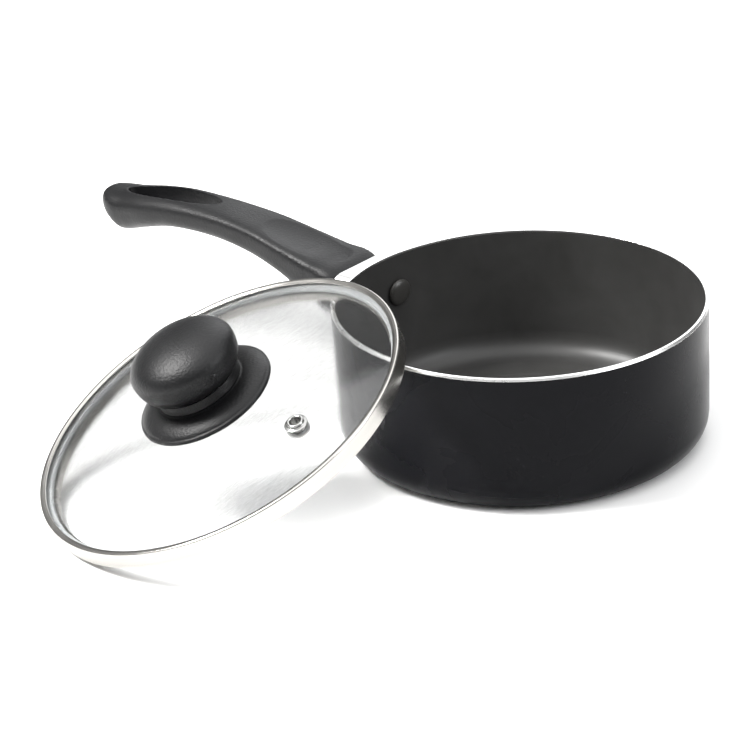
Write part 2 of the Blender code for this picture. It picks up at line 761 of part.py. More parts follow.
def make_base():
    plateau = knob_seat() - GAP
    edge_low = glass_top(BASE_RADIUS) + GAP
    edge_top = edge_low + BASE_EDGE
    bore = KNOB_SCREW_RADIUS + GAP
    start = (BASE_RADIUS - 0.0012, edge_top + 0.0003)
    rise = plateau - 0.0004 - start[1]
    reach = start[0] - (KNOB_NECK_RADIUS + 0.0004)
    flank = [
        (start[0] - reach * (1 - math.cos(a)) ** 0.9, start[1] + rise * math.sin(a) ** 1.4)
        for a in np.linspace(math.pi / 2, 0.0, 7)
    ]
    pad = GASKET_RADIUS + GAP
    inner = [(r, glass_top(r) + GAP) for r in np.linspace(BASE_RADIUS - 0.0006, pad + 0.0008, 5)]
    profile = [(bore, plateau), (KNOB_NECK_RADIUS, plateau)] + flank
    profile += [(BASE_RADIUS, edge_top), (BASE_RADIUS, edge_low + 0.0003)] + inner
    profile += [(pad, base_seat()), (bore, base_seat())]
    turned("knob_base", profile, KNOB_STEPS, PHENOLIC, LID, closed=True)


def make_knob():
    seat = knob_seat()
    neck_top = seat + KNOB_NECK_HEIGHT
    widest = neck_top + KNOB_UNDERSIDE
    cavity = INSERT_RADIUS + GAP
    dome = [
        (KNOB_RADIUS * math.cos(a), widest + KNOB_DOME * math.sin(a))
        for a in np.linspace(math.pi / 2, 0.0, 9)
    ]
    dome[0] = (0.0, widest + KNOB_DOME)
    under = [
        (
            KNOB_WAIST_RADIUS + (KNOB_RADIUS - KNOB_WAIST_RADIUS) * math.cos(a),
            widest - KNOB_UNDERSIDE * math.sin(a),
        )
        for a in np.linspace(0.0, math.pi / 2, 6)[1:]
    ]
    neck = [
        (KNOB_WAIST_RADIUS, neck_top - 0.0004),
        (KNOB_NECK_RADIUS - 0.0003, neck_top - 0.0008),
        (KNOB_NECK_RADIUS, seat + 0.0004),
        (KNOB_NECK_RADIUS - 0.0004, seat),
        (cavity, seat),
        (cavity, seat + INSERT_LENGTH + 2 * GAP),
        (0.0, seat + INSERT_LENGTH + 2 * GAP),
    ]
    turned("knob_cap", dome + under + neck, KNOB_STEPS, PHENOLIC, LID)


def make_knob_hardware():
    seat = knob_seat()
    thread = KNOB_SCREW_RADIUS + THREAD_CLEARANCE
    turned(
        "knob_insert",
        ring_profile(thread, INSERT_RADIUS, seat + GAP, seat + GAP + INSERT_LENGTH),
        SMALL_STEPS,
        BRASS,
        LID,
        closed=True,
    )
    upper_low = glass_top(0.0) + GAP
    lower_top = glass_underside(0.0) - GAP
    washer_top = lower_top - GASKET_THICKNESS - GAP
    washer_low = washer_top - WASHER_THICKNESS
    stack = (
        ("knob_gasket_upper", GASKET_RADIUS, upper_low, upper_low + GASKET_THICKNESS, SILICONE),
        ("knob_gasket_lower", GASKET_RADIUS, lower_top - GASKET_THICKNESS, lower_top, SILICONE),
        ("knob_washer", KNOB_WASHER_RADIUS, washer_low, washer_top, STEEL),
    )
    for name, radius, low, high, material in stack:
        turned(name, ring_profile(thread, radius, low, high), SMALL_STEPS, material, LID, closed=True)
    make_screw(
        "knob_screw",
        KNOB_SCREW_RADIUS,
        KNOB_SCREW_HEAD_RADIUS,
        KNOB_SCREW_HEAD,
        washer_low - GAP,
        seat + KNOB_SCREW_REACH,
        LID,
    )


clear_scene()
PARTS = make_collection("saucepan_with_glass_lid")
CUTTERS = make_collection("cutters")
ENAMEL = make_material("enamel_and_nonstick", (0.012, 0.013, 0.016), 0.32)
PHENOLIC = make_material("phenolic", (0.045, 0.046, 0.050), 0.55)
BRIGHT = make_material("bright_aluminium", (0.80, 0.80, 0.79), 0.32, 1.0)
BRUSHED = make_material("brushed_stainless", (0.62, 0.60, 0.57), 0.28, 1.0)
STEEL = make_material("plated_steel", (0.60, 0.60, 0.60), 0.25, 1.0)
RIVET_METAL = make_material("coated_rivet", (0.060, 0.060, 0.060), 0.40)
BRASS = make_material("brass", (0.72, 0.55, 0.25), 0.30, 1.0)
SILICONE = make_material("silicone", (0.75, 0.76, 0.76), 0.60)
GLASS = make_material("tempered_glass", (0.96, 0.98, 0.98), 0.03, 0.0, 1.0)
RIVET_SIDES = (("left", -RIVET_ANGLE), ("right", RIVET_ANGLE))

make_pan()
make_rivets()
make_bracket()
make_guard()
make_grip()
make_grip_screw()
LID = make_lid_frame()
make_glass()
make_ring()
make_bead()
make_vent()
make_base()
make_knob()
make_knob_hardware()
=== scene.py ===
import math

import bpy
import bmesh
import numpy as np
from mathutils import Matrix, Vector


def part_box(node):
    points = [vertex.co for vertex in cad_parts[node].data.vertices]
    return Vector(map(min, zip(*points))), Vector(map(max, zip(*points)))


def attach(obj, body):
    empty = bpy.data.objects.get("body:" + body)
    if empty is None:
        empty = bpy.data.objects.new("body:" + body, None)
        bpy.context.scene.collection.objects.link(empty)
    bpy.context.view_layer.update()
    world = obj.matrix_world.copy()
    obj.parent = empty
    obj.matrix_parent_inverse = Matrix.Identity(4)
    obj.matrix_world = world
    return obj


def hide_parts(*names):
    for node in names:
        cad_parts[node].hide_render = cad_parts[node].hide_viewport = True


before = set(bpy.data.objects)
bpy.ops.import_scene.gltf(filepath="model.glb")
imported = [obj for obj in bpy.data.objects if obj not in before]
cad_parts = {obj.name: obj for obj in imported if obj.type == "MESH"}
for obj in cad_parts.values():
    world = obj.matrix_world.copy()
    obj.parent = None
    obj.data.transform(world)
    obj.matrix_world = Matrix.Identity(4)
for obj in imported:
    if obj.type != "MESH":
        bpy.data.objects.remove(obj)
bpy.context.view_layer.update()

gap = 0.0003  # between neighbouring pieces, as in the CAD model
mergeDistance = 0.000004  # points nearer than this become one


# helpers

def clearSelection():
    if bpy.context.object and bpy.context.object.mode != "OBJECT":
        bpy.ops.object.mode_set(mode="OBJECT")
    bpy.ops.object.select_all(action="DESELECT")


def makeActive(piece):
    clearSelection()
    piece.select_set(True)
    bpy.context.view_layer.objects.active = piece


# room: the share of a side that one rounding may take; a lead point on each side keeps flats flat
arc = {"room": 0.49, "step": math.radians(12), "leadShare": 1.3, "leadMost": 0.0008}


def roundCorners(corners, closed=False):
    # corners are (radius, height, rounding); each rounding becomes a small arc
    path = []
    count = len(corners)
    for i, (x, z, rounding) in enumerate(corners):
        here = Vector((x, z))
        atEnd = not closed and i in (0, count - 1)
        if rounding == 0 or atEnd:
            path.append((x, z))
            continue
        toBefore = Vector(corners[i - 1][:2]) - here
        toAfter = Vector(corners[(i + 1) % count][:2]) - here
        room = min(toBefore.length, toAfter.length) * arc["room"]
        toBefore.normalize()
        toAfter.normalize()
        bend = toBefore.angle(toAfter)
        reach = min(rounding / math.tan(bend / 2), room)
        radius = reach * math.tan(bend / 2)
        middle = here + (toBefore + toAfter).normalized() * (radius / math.sin(bend / 2))
        first = here + toBefore * reach - middle
        turn = first.angle_signed(here + toAfter * reach - middle)
        steps = max(3, round(abs(turn) / arc["step"]))
        lead = min(reach * arc["leadShare"], reach + arc["leadMost"])
        path.append(tuple(here + toBefore * lead))
        for k in range(steps + 1):
            angle = -turn * k / steps
            across = first.x * math.cos(angle) - first.y * math.sin(angle)
            up = first.x * math.sin(angle) + first.y * math.cos(angle)
            path.append((middle.x + across, middle.y + up))
        path.append(tuple(here + toAfter * lead))
    return path


def ovalArc(centre, across, up, start, end, count):
    # count points along an ellipse, from start to end in degrees
    angles = [math.radians(start + (end - start) * k / (count - 1)) for k in range(count)]
    return [(centre[0] + across * math.cos(a), centre[1] + up * math.sin(a)) for a in angles]


def turnPiece(name, path, steps, closed=False):
    # one point is drawn out along the path, and the line is spun round Z
    clearSelection()
    bpy.ops.mesh.primitive_plane_add(size=0.001, location=(0, 0, 0))
    piece = bpy.context.object
    piece.name = name
    piece.data.name = name
    bpy.ops.object.mode_set(mode="EDIT")
    bpy.ops.mesh.select_mode(type="VERT")
    bpy.ops.mesh.merge(type="CENTER")
    bpy.ops.transform.translate(value=(path[0][0], 0, path[0][1]))
    for before, after in zip(path, path[1:] + path[:1] * closed):
        move = (after[0] - before[0], 0, after[1] - before[1])
        bpy.ops.mesh.extrude_region_move(TRANSFORM_OT_translate={"value": move})
    bpy.ops.mesh.select_all(action="SELECT")
    bpy.ops.mesh.spin(steps=steps, angle=math.tau, center=(0, 0, 0), axis=(0, 0, 1))
    bpy.ops.mesh.select_all(action="SELECT")
    bpy.ops.mesh.remove_doubles(threshold=mergeDistance)
    bpy.ops.mesh.normals_make_consistent(inside=False)
    bpy.ops.object.mode_set(mode="OBJECT")
    return piece


def settle(piece, matrix=None, angle=35):
    # the place goes into the mesh, and the piece is shaded smooth up to an angle
    makeActive(piece)
    if matrix:
        piece.matrix_world = matrix
    bpy.ops.object.transform_apply(location=True, rotation=True, scale=True)
    bpy.ops.object.shade_smooth_by_angle(angle=math.radians(angle))


def applyAll(piece):
    makeActive(piece)
    for modifier in list(piece.modifiers):
        bpy.ops.object.modifier_apply(modifier=modifier.name)


def cutWith(piece, cutter):
    makeActive(piece)
    boolean = piece.modifiers.new("cut", "BOOLEAN")
    boolean.operation = "DIFFERENCE"
    boolean.object = cutter
    boolean.solver = "EXACT"
    bpy.ops.object.modifier_apply(modifier=boolean.name)
    bpy.data.objects.remove(cutter, do_unlink=True)


def selectFaces(piece, test):
    makeActive(piece)
    bpy.ops.object.mode_set(mode="EDIT")
    bpy.ops.mesh.select_mode(type="FACE")
    bpy.ops.mesh.select_all(action="DESELECT")
    mesh = bmesh.from_edit_mesh(piece.data)
    for face in mesh.faces:
        face.select = test(face.calc_center_median(), face.normal)
    mesh.select_flush_mode()
    bmesh.update_edit_mesh(piece.data)


def paintFaces(piece, material, test):
    # gives another material to the faces that pass the test
    piece.data.materials.append(material)
    selectFaces(piece, test)
    piece.active_material_index = len(piece.data.materials) - 1
    bpy.ops.object.material_slot_assign()
    bpy.ops.object.mode_set(mode="OBJECT")


def hand(piece, body, material, node):
    # the piece rides on its body and stands for its CAD node
    if not piece.data.materials:
        piece.data.materials.append(material)
    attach(piece, body)
    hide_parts(node)


# the lid's own frame, read from the CAD ring

lidRing = {
    "radius": 0.0854, "sheet": 0.0007, "lipWidth": 0.0029, "bandHeight": 0.0078,
    "skirtRadius": 0.0796, "skirtDepth": 0.0107,
}


def findLidFrame():
    # the ring is round, so its least spread is along its axis
    points = np.array([vertex.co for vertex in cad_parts["lid_ring"].data.vertices])
    middle = points.mean(axis=0)
    axes = np.linalg.svd(points - middle, full_matrices=False)[2]
    up = Vector(axes[2]) * (1 if axes[2][2] > 0 else -1)
    lowest = ((points - middle) @ np.array(up)).min()
    origin = Vector(middle) + up * (lowest + lidRing["skirtDepth"])
    downhill = (up * up.z - Vector((0, 0, 1))).normalized()
    side = up.cross(downhill)
    turn = Matrix((downhill, side, up)).transposed().to_4x4()
    return Matrix.Translation(origin) @ turn


lidMatrix = findLidFrame()
print("lid frame", [round(v, 5) for v in lidMatrix.translation])


# shader groups shared by several finishes

def addNode(tree, kind, place, **settings):
    node = tree.nodes.new(kind)
    node.location = place
    for name, value in settings.items():
        setattr(node, name, value)
    return node


def newGroup(name, inputs, outputs):
    tree = bpy.data.node_groups.new(name, "ShaderNodeTree")
    for label, kind, value in inputs:
        socket = tree.interface.new_socket(name=label, in_out="INPUT", socket_type=kind)
        if value is not None:
            socket.default_value = value
    for label in outputs:
        tree.interface.new_socket(name=label, in_out="OUTPUT", socket_type="NodeSocketFloat")
    start = addNode(tree, "NodeGroupInput", (-900, 0))
    end = addNode(tree, "NodeGroupOutput", (700, 0))
    return tree, start, end


def makeGrainGroup():
    # moulded or sprayed grain: fine pits, with broader mottling
    tree, start, end = newGroup(
        "fineGrain",
        [("Vector", "NodeSocketVector", None), ("Size", "NodeSocketFloat", 2500.0)],
        ["Height", "Mottle"],
    )
    fine = addNode(tree, "ShaderNodeTexNoise", (-600, 150))
    fine.inputs["Detail"].default_value = 3
    fine.inputs["Roughness"].default_value = 0.6
    pits = addNode(tree, "ShaderNodeTexVoronoi", (-600, -100))
    broad = addNode(tree, "ShaderNodeTexNoise", (-600, -350))
    broad.inputs["Scale"].default_value = 90
    broad.inputs["Detail"].default_value = 4
    mixHeights = addNode(tree, "ShaderNodeMath", (-200, 100), operation="MULTIPLY_ADD")
    mixHeights.inputs[1].default_value = 0.35
    link = tree.links.new
    for texture in (fine, pits, broad):
        link(start.outputs["Vector"], texture.inputs["Vector"])
    link(start.outputs["Size"], fine.inputs["Scale"])
    link(start.outputs["Size"], pits.inputs["Scale"])
    link(pits.outputs["Distance"], mixHeights.inputs[0])
    link(fine.outputs["Fac"], mixHeights.inputs[2])
    link(mixHeights.outputs[0], end.inputs["Height"])
    link(broad.outputs["Fac"], end.inputs["Mottle"])
    return tree


def makeTurnedGroup():
    # fine lines round the Z axis, left by a spinning tool or brush
    tree, start, end = newGroup(
        "turnedLines",
        [("Vector", "NodeSocketVector", None), ("Pitch", "NodeSocketFloat", 3000.0)],
        ["Height", "Streaks"],
    )
    split = addNode(tree, "ShaderNodeSeparateXYZ", (-700, 100))
    flat = addNode(tree, "ShaderNodeCombineXYZ", (-550, 200))
    radius = addNode(tree, "ShaderNodeVectorMath", (-400, 200), operation="LENGTH")
    turn = addNode(tree, "ShaderNodeMath", (-400, 0), operation="ARCTAN2")
    around = addNode(tree, "ShaderNodeMath", (-250, 0), operation="MULTIPLY")
    around.inputs[1].default_value = 0.0012
    line = addNode(tree, "ShaderNodeCombineXYZ", (-100, 120))
    fine = addNode(tree, "ShaderNodeTexNoise", (100, 200))
    fine.inputs["Detail"].default_value = 5
    fine.inputs["Roughness"].default_value = 0.7
    broad = addNode(tree, "ShaderNodeTexNoise", (100, -100))
    broad.inputs["Scale"].default_value = 420
    broad.inputs["Detail"].default_value = 3
    link = tree.links.new
    link(start.outputs["Vector"], split.inputs[0])
    link(split.outputs["X"], flat.inputs["X"])
    link(split.outputs["Y"], flat.inputs["Y"])
    link(flat.outputs[0], radius.inputs[0])
    link(split.outputs["Y"], turn.inputs[0])
    link(split.outputs["X"], turn.inputs[1])
    link(turn.outputs[0], around.inputs[0])
    link(radius.outputs["Value"], line.inputs["X"])
    link(around.outputs[0], line.inputs["Y"])
    link(split.outputs["Z"], line.inputs["Z"])
    link(line.outputs[0], fine.inputs["Vector"])
    link(line.outputs[0], broad.inputs["Vector"])
    link(start.outputs["Pitch"], fine.inputs["Scale"])
    link(fine.outputs["Fac"], end.inputs["Height"])
    link(broad.outputs["Fac"], end.inputs["Streaks"])
    return tree


def makeWearGroup():
    # where a convex edge rubs bare, broken up by noise
    tree, start, end = newGroup(
        "edgeWear",
        [("Vector", "NodeSocketVector", None), ("Amount", "NodeSocketFloat", 0.5)],
        ["Mask"],
    )
    shape = addNode(tree, "ShaderNodeNewGeometry", (-700, 100))
    edges = addNode(tree, "ShaderNodeMapRange", (-450, 150))
    edges.inputs["From Min"].default_value = 0.52
    edges.inputs["From Max"].default_value = 0.62
    patches = addNode(tree, "ShaderNodeTexNoise", (-450, -150))
    patches.inputs["Scale"].default_value = 260
    patches.inputs["Detail"].default_value = 5
    broken = addNode(tree, "ShaderNodeMath", (-150, 50), operation="MULTIPLY")
    strength = addNode(tree, "ShaderNodeMath", (100, 50), operation="MULTIPLY", use_clamp=True)
    link = tree.links.new
    link(shape.outputs["Pointiness"], edges.inputs["Value"])
    link(start.outputs["Vector"], patches.inputs["Vector"])
    link(edges.outputs["Result"], broken.inputs[0])
    link(patches.outputs["Fac"], broken.inputs[1])
    link(broken.outputs[0], strength.inputs[0])
    link(start.outputs["Amount"], strength.inputs[1])
    link(strength.outputs[0], end.inputs["Mask"])
    return tree


def makeSmudgeGroup():
    # soft patches left by wiping and by fingers
    tree, start, end = newGroup(
        "smudges",
        [("Vector", "NodeSocketVector", None), ("Spread", "NodeSocketFloat", 35.0)],
        ["Mask"],
    )
    soft = addNode(tree, "ShaderNodeTexNoise", (-500, 100))
    soft.inputs["Detail"].default_value = 6
    soft.inputs["Distortion"].default_value = 0.8
    shaped = addNode(tree, "ShaderNodeMapRange", (-200, 100))
    shaped.inputs["From Min"].default_value = 0.4
    shaped.inputs["From Max"].default_value = 0.7
    link = tree.links.new
    link(start.outputs["Vector"], soft.inputs["Vector"])
    link(start.outputs["Spread"], soft.inputs["Scale"])
    link(soft.outputs["Fac"], shaped.inputs["Value"])
    link(shaped.outputs["Result"], end.inputs["Mask"])
    return tree


groups = {
    "grain": makeGrainGroup(),
    "turned": makeTurnedGroup(),
    "wear": makeWearGroup(),
    "smudges": makeSmudgeGroup(),
}
print("shader groups made")


class Finish:
    # one material under construction: a shader, its coordinates, and what feeds it
    def __init__(self, name, matrix=None):
        self.material = bpy.data.materials.new(name)
        self.material.use_nodes = True
        self.tree = self.material.node_tree
        self.shader = self.tree.nodes["Principled BSDF"]
        coordinates = addNode(self.tree, "ShaderNodeTexCoord", (-1500, 0))
        self.vector = coordinates.outputs["Object"]
        if matrix is not None:
            back = matrix.inverted()
            mapping = addNode(self.tree, "ShaderNodeMapping", (-1300, 0))
            mapping.inputs["Location"].default_value = back.translation
            mapping.inputs["Rotation"].default_value = back.to_euler("XYZ")
            self.link(self.vector, mapping.inputs["Vector"])
            self.vector = mapping.outputs["Vector"]
        self.row = 400

    def link(self, start, end):
        self.tree.links.new(start, end)

    def set(self, **values):
        for label, value in values.items():
            self.shader.inputs[label.replace("_", " ")].default_value = value

    def group(self, key, **values):
        node = addNode(self.tree, "ShaderNodeGroup", (-1050, self.row), node_tree=groups[key])
        self.row -= 220
        self.link(self.vector, node.inputs["Vector"])
        for label, value in values.items():
            node.inputs[label].default_value = value
        return node

    def blend(self, mask, low, high):
        # a colour that goes from low to high with the mask
        mix = addNode(self.tree, "ShaderNodeMix", (-600, self.row), data_type="RGBA")
        self.row -= 220
        self.link(mask, mix.inputs["Factor"])
        for socket, colour in ((mix.inputs[6], low), (mix.inputs[7], high)):
            if hasattr(colour, "links"):
                self.link(colour, socket)
            else:
                socket.default_value = (*colour, 1)
        return mix.outputs[2]

    def spread(self, mask, low, high):
        # a value that goes from low to high with the mask
        ramp = addNode(self.tree, "ShaderNodeMapRange", (-600, self.row))
        self.row -= 260
        ramp.inputs["To Min"].default_value = low
        ramp.inputs["To Max"].default_value = high
        self.link(mask, ramp.inputs["Value"])
        return ramp.outputs["Result"]

    def bump(self, height, distance, strength, under=None):
        bump = addNode(self.tree, "ShaderNodeBump", (-300, self.row))
        self.row -= 220
        bump.inputs["Distance"].default_value = distance
        bump.inputs["Strength"].default_value = strength
        self.link(height, bump.inputs["Height"])
        if under:
            self.link(under, bump.inputs["Normal"])
        return bump.outputs["Normal"]

    def feed(self, **sockets):
        for label, source in sockets.items():
            self.link(source, self.shader.inputs[label.replace("_", " ")])


# finishes

def makeEnamel():
    finish = Finish("blackEnamel")
    finish.set(IOR=1.33, Specular_IOR_Level=0.16)
    smudges = finish.group("smudges", Spread=22)
    grain = finish.group("grain", Size=1400)
    wear = finish.group("wear", Amount=0.3)
    colour = finish.blend(
        grain.outputs["Mottle"], low=(0.0022, 0.0023, 0.0033), high=(0.0034, 0.0035, 0.0048)
    )
    colour = finish.blend(wear.outputs["Mask"], colour, (0.012, 0.012, 0.013))
    finish.feed(
        Base_Color=colour,
        Roughness=finish.spread(smudges.outputs["Mask"], low=0.24, high=0.31),
        Normal=finish.bump(grain.outputs["Height"], distance=0.000006, strength=0.3),
    )
    return finish.material


def makeNonStick():
    finish = Finish("nonStickCoating")
    finish.set(IOR=1.45)
    grain = finish.group("grain", Size=2300)
    smudges = finish.group("smudges", Spread=30)
    turned = finish.group("turned", Pitch=700)
    colour = finish.blend(
        grain.outputs["Mottle"], low=(0.031, 0.0307, 0.0298), high=(0.043, 0.0426, 0.0413)
    )
    colour = finish.blend(smudges.outputs["Mask"], colour, (0.047, 0.0466, 0.0455))
    lines = finish.bump(turned.outputs["Height"], distance=0.00002, strength=0.35)
    finish.feed(
        Base_Color=colour,
        Roughness=finish.spread(smudges.outputs["Mask"], low=0.36, high=0.46),
        Normal=finish.bump(grain.outputs["Height"], distance=0.00004, strength=0.6, under=lines),
    )
    return finish.material


def makeMachinedMetal(name, low, high, roughness, pitch, depth, matrix=None):
    # bare metal with lines round its axis: the rim, the pan's underside and the lid's ring
    finish = Finish(name, matrix)
    finish.set(Metallic=1.0)
    turned = finish.group("turned", Pitch=pitch)
    smudges = finish.group("smudges", Spread=60)
    colour = finish.blend(turned.outputs["Streaks"], low, high)
    finish.feed(
        Base_Color=colour,
        Roughness=finish.spread(smudges.outputs["Mask"], low=roughness, high=roughness + 0.08),
        Normal=finish.bump(turned.outputs["Height"], distance=depth, strength=0.5),
    )
    return finish.material


def makePhenolic():
    finish = Finish("mouldedPhenolic")
    finish.set(IOR=1.48, Specular_IOR_Level=0.32)
    grain = finish.group("grain", Size=950)
    wear = finish.group("wear", Amount=0.8)
    smudges = finish.group("smudges", Spread=45)
    colour = finish.blend(
        grain.outputs["Mottle"], low=(0.0028, 0.0029, 0.0034), high=(0.0056, 0.0057, 0.0064)
    )
    colour = finish.blend(wear.outputs["Mask"], colour, (0.055, 0.055, 0.058))
    finish.feed(
        Base_Color=colour,
        Roughness=finish.spread(smudges.outputs["Mask"], low=0.40, high=0.50),
        Normal=finish.bump(grain.outputs["Height"], distance=0.00020, strength=0.8),
    )
    return finish.material


def makePlainMetal(name, low, high, roughness, grainSize=1500, depth=0.00003):
    finish = Finish(name)
    finish.set(Metallic=1.0)
    grain = finish.group("grain", Size=grainSize)
    wear = finish.group("wear", Amount=0.5)
    colour = finish.blend(grain.outputs["Mottle"], low, high)
    worn = tuple(min(v * 1.3, 0.95) for v in high)  # rubbed brighter
    colour = finish.blend(wear.outputs["Mask"], colour, worn)
    finish.feed(
        Base_Color=colour,
        Roughness=finish.spread(grain.outputs["Mottle"], low=roughness, high=roughness + 0.12),
        Normal=finish.bump(grain.outputs["Height"], distance=depth, strength=0.5),
    )
    return finish.material


def makeRivetCoat():
    finish = Finish("rivetCoating")
    finish.set(IOR=1.5, Metallic=0.0)
    grain = finish.group("grain", Size=2300)
    wear = finish.group("wear", Amount=0.9)
    colour = finish.blend(
        grain.outputs["Mottle"], low=(0.030, 0.029, 0.027), high=(0.042, 0.041, 0.038)
    )
    colour = finish.blend(wear.outputs["Mask"], colour, (0.16, 0.15, 0.14))
    finish.feed(
        Base_Color=colour,
        Roughness=finish.spread(grain.outputs["Mottle"], low=0.24, high=0.36),
        Normal=finish.bump(grain.outputs["Height"], distance=0.00004, strength=0.5),
    )
    return finish.material


def makeSilicone():
    finish = Finish("clearSilicone")
    finish.set(IOR=1.41, Transmission_Weight=0.35)
    grain = finish.group("grain", Size=900)
    smudges = finish.group("smudges", Spread=80)
    finish.feed(
        Base_Color=finish.blend(
            smudges.outputs["Mask"], low=(0.62, 0.64, 0.65), high=(0.74, 0.75, 0.75)
        ),
        Roughness=finish.spread(grain.outputs["Mottle"], low=0.4, high=0.6),
        Normal=finish.bump(grain.outputs["Height"], distance=0.00003, strength=0.4),
    )
    return finish.material


def makeGlass():
    # clear tempered glass whose tint is painted with long dark and light streaks, which stand in for
    # the reflections and shade seen in the glass
    finish = Finish("temperedGlass", lidMatrix)
    finish.set(IOR=1.5, Transmission_Weight=1.0)
    stretch = addNode(finish.tree, "ShaderNodeMapping", (-1250, -500))
    stretch.inputs["Rotation"].default_value = (0, 0, math.radians(62))
    stretch.inputs["Scale"].default_value = (260, 1500, 260)
    # long noise streaks: a real bump on the glass, and painted reflections in its tint
    streaksAndPaintedReflection = addNode(finish.tree, "ShaderNodeTexNoise", (-1000, -500))
    streaksAndPaintedReflection.inputs["Scale"].default_value = 1
    streaksAndPaintedReflection.inputs["Detail"].default_value = 6
    streaksAndPaintedReflection.inputs["Roughness"].default_value = 0.72
    finish.link(finish.vector, stretch.inputs["Vector"])
    finish.link(stretch.outputs["Vector"], streaksAndPaintedReflection.inputs["Vector"])
    smudges = finish.group("smudges", Spread=26)
    rays = addNode(finish.tree, "ShaderNodeLightPath", (-1000, -800))
    # for a shadow ray the glass is nearly absent, so it hardly shades the floor
    clearShadow = finish.spread(rays.outputs["Is Shadow Ray"], low=1.0, high=0.12)
    finish.feed(
        Alpha=clearShadow,
        # painted reflection and shade: the tint runs from dark grey to near white along the streaks
        Base_Color=finish.blend(
            streaksAndPaintedReflection.outputs["Fac"], low=(0.31, 0.315, 0.315), high=(0.93, 0.935, 0.935)
        ),
        Roughness=finish.spread(smudges.outputs["Mask"], low=0.02, high=0.06),
        Normal=finish.bump(streaksAndPaintedReflection.outputs["Fac"], distance=0.00004, strength=0.35),
    )
    return finish.material


enamel = makeEnamel()
nonStick = makeNonStick()
bareRim = makeMachinedMetal(
    "bareRim", low=(0.80, 0.80, 0.79), high=(0.93, 0.93, 0.92),
    roughness=0.26, pitch=2600, depth=0.00002,
)
spunBase = makeMachinedMetal(
    "spunUnderside", low=(0.58, 0.58, 0.57), high=(0.74, 0.74, 0.73),
    roughness=0.30, pitch=1300, depth=0.00006,
)
ringSteel = makeMachinedMetal(
    "brushedRing", low=(0.40, 0.39, 0.37), high=(0.56, 0.545, 0.52),
    roughness=0.20, pitch=3600, depth=0.00002, matrix=lidMatrix,
)
phenolic = makePhenolic()
guardMetal = makePlainMetal(
    "satinAluminium", low=(0.62, 0.62, 0.61), high=(0.78, 0.78, 0.77),
    roughness=0.22, grainSize=1700, depth=0.00006,
)
polishedSteel = makePlainMetal(
    "polishedSteel", low=(0.30, 0.30, 0.295), high=(0.46, 0.46, 0.45),
    roughness=0.14, grainSize=900, depth=0.00001,
)
platedSteel = makePlainMetal(
    "platedSteel", low=(0.50, 0.50, 0.49), high=(0.64, 0.64, 0.62), roughness=0.24
)
brass = makePlainMetal(
    "machinedBrass", low=(0.62, 0.44, 0.16), high=(0.76, 0.56, 0.24), roughness=0.22
)
rivetCoat = makeRivetCoat()
silicone = makeSilicone()
glass = makeGlass()
print("finishes made")


# pan

pan = {
    "radius": 0.0820, "height": 0.0637, "wall": 0.0018, "floor": 0.0026, "corner": 0.0127,
    "draft": 0.0007, "rimBevel": 0.0006, "rimDrop": 0.0010,
    "stepRadius": 0.0560, "stepDepth": 0.0003, "stepSlope": 0.0006, "stepRound": 0.002,
    "groove": 0.0560, "grooveWidth": 0.0030, "grooveDepth": 0.0005, "grooveRound": 0.0003,
}


def makePan():
    wall = pan["radius"] - pan["draft"]
    innerCorner = pan["corner"] - pan["wall"]
    floor = pan["floor"]
    half = pan["grooveWidth"] / 2
    corners = [
        (0, floor - pan["stepDepth"], 0),
        (pan["stepRadius"] - pan["stepSlope"], floor - pan["stepDepth"], pan["stepRound"]),
        (pan["stepRadius"] + pan["stepSlope"], floor, pan["stepRound"]),
        (wall - pan["wall"], floor, innerCorner),
        (pan["radius"] - pan["wall"] - 0.00001, pan["height"] - pan["rimDrop"], 0),
        (pan["radius"] - pan["wall"], pan["height"], 0.00025),
        (pan["radius"] - pan["rimBevel"], pan["height"], 0.00035),
        (pan["radius"], pan["height"] - pan["rimDrop"], 0.0002),
        (wall, 0, pan["corner"]),
        (pan["groove"] + half, 0, pan["grooveRound"]),
        (pan["groove"] + half - pan["grooveDepth"], pan["grooveDepth"], pan["grooveRound"]),
        (pan["groove"] - half + pan["grooveDepth"], pan["grooveDepth"], pan["grooveRound"]),
        (pan["groove"] - half, 0, pan["grooveRound"]),
        (0, 0, 0),
    ]
    rimBottom = pan["height"] - pan["rimDrop"] - 0.00005
    footTop = pan["grooveDepth"] + 0.0001
    footRadius = pan["radius"] - pan["corner"]

    def isInside(place, normal):
        outward = Vector((place.x, place.y, 0))
        return place.z > floor * 0.8 and (normal.z > 0.02 or normal.dot(outward) < 0)

    def isRim(place, normal):
        return place.z > rimBottom

    def isFoot(place, normal):
        return place.z < footTop and Vector(place[:2]).length < footRadius

    piece = turnPiece("saucepan", roundCorners(corners), 192)
    settle(piece)
    piece.data.materials.append(enamel)
    for material, test in ((nonStick, isInside), (bareRim, isRim), (spunBase, isFoot)):
        paintFaces(piece, material, test)
    hand(piece, "pan", enamel, "pan_body")


makePan()


# rivets

rivet = {
    "spacing": 0.0206, "drop": 0.0185, "shank": 0.0022, "head": 0.0061, "headHeight": 0.0024,
    "headRim": 0.0005, "headBevel": 0.0002, "headChamfer": 0.0003,
    "tail": 0.0037, "tailHeight": 0.0018, "bracketSheet": 0.0015,
}


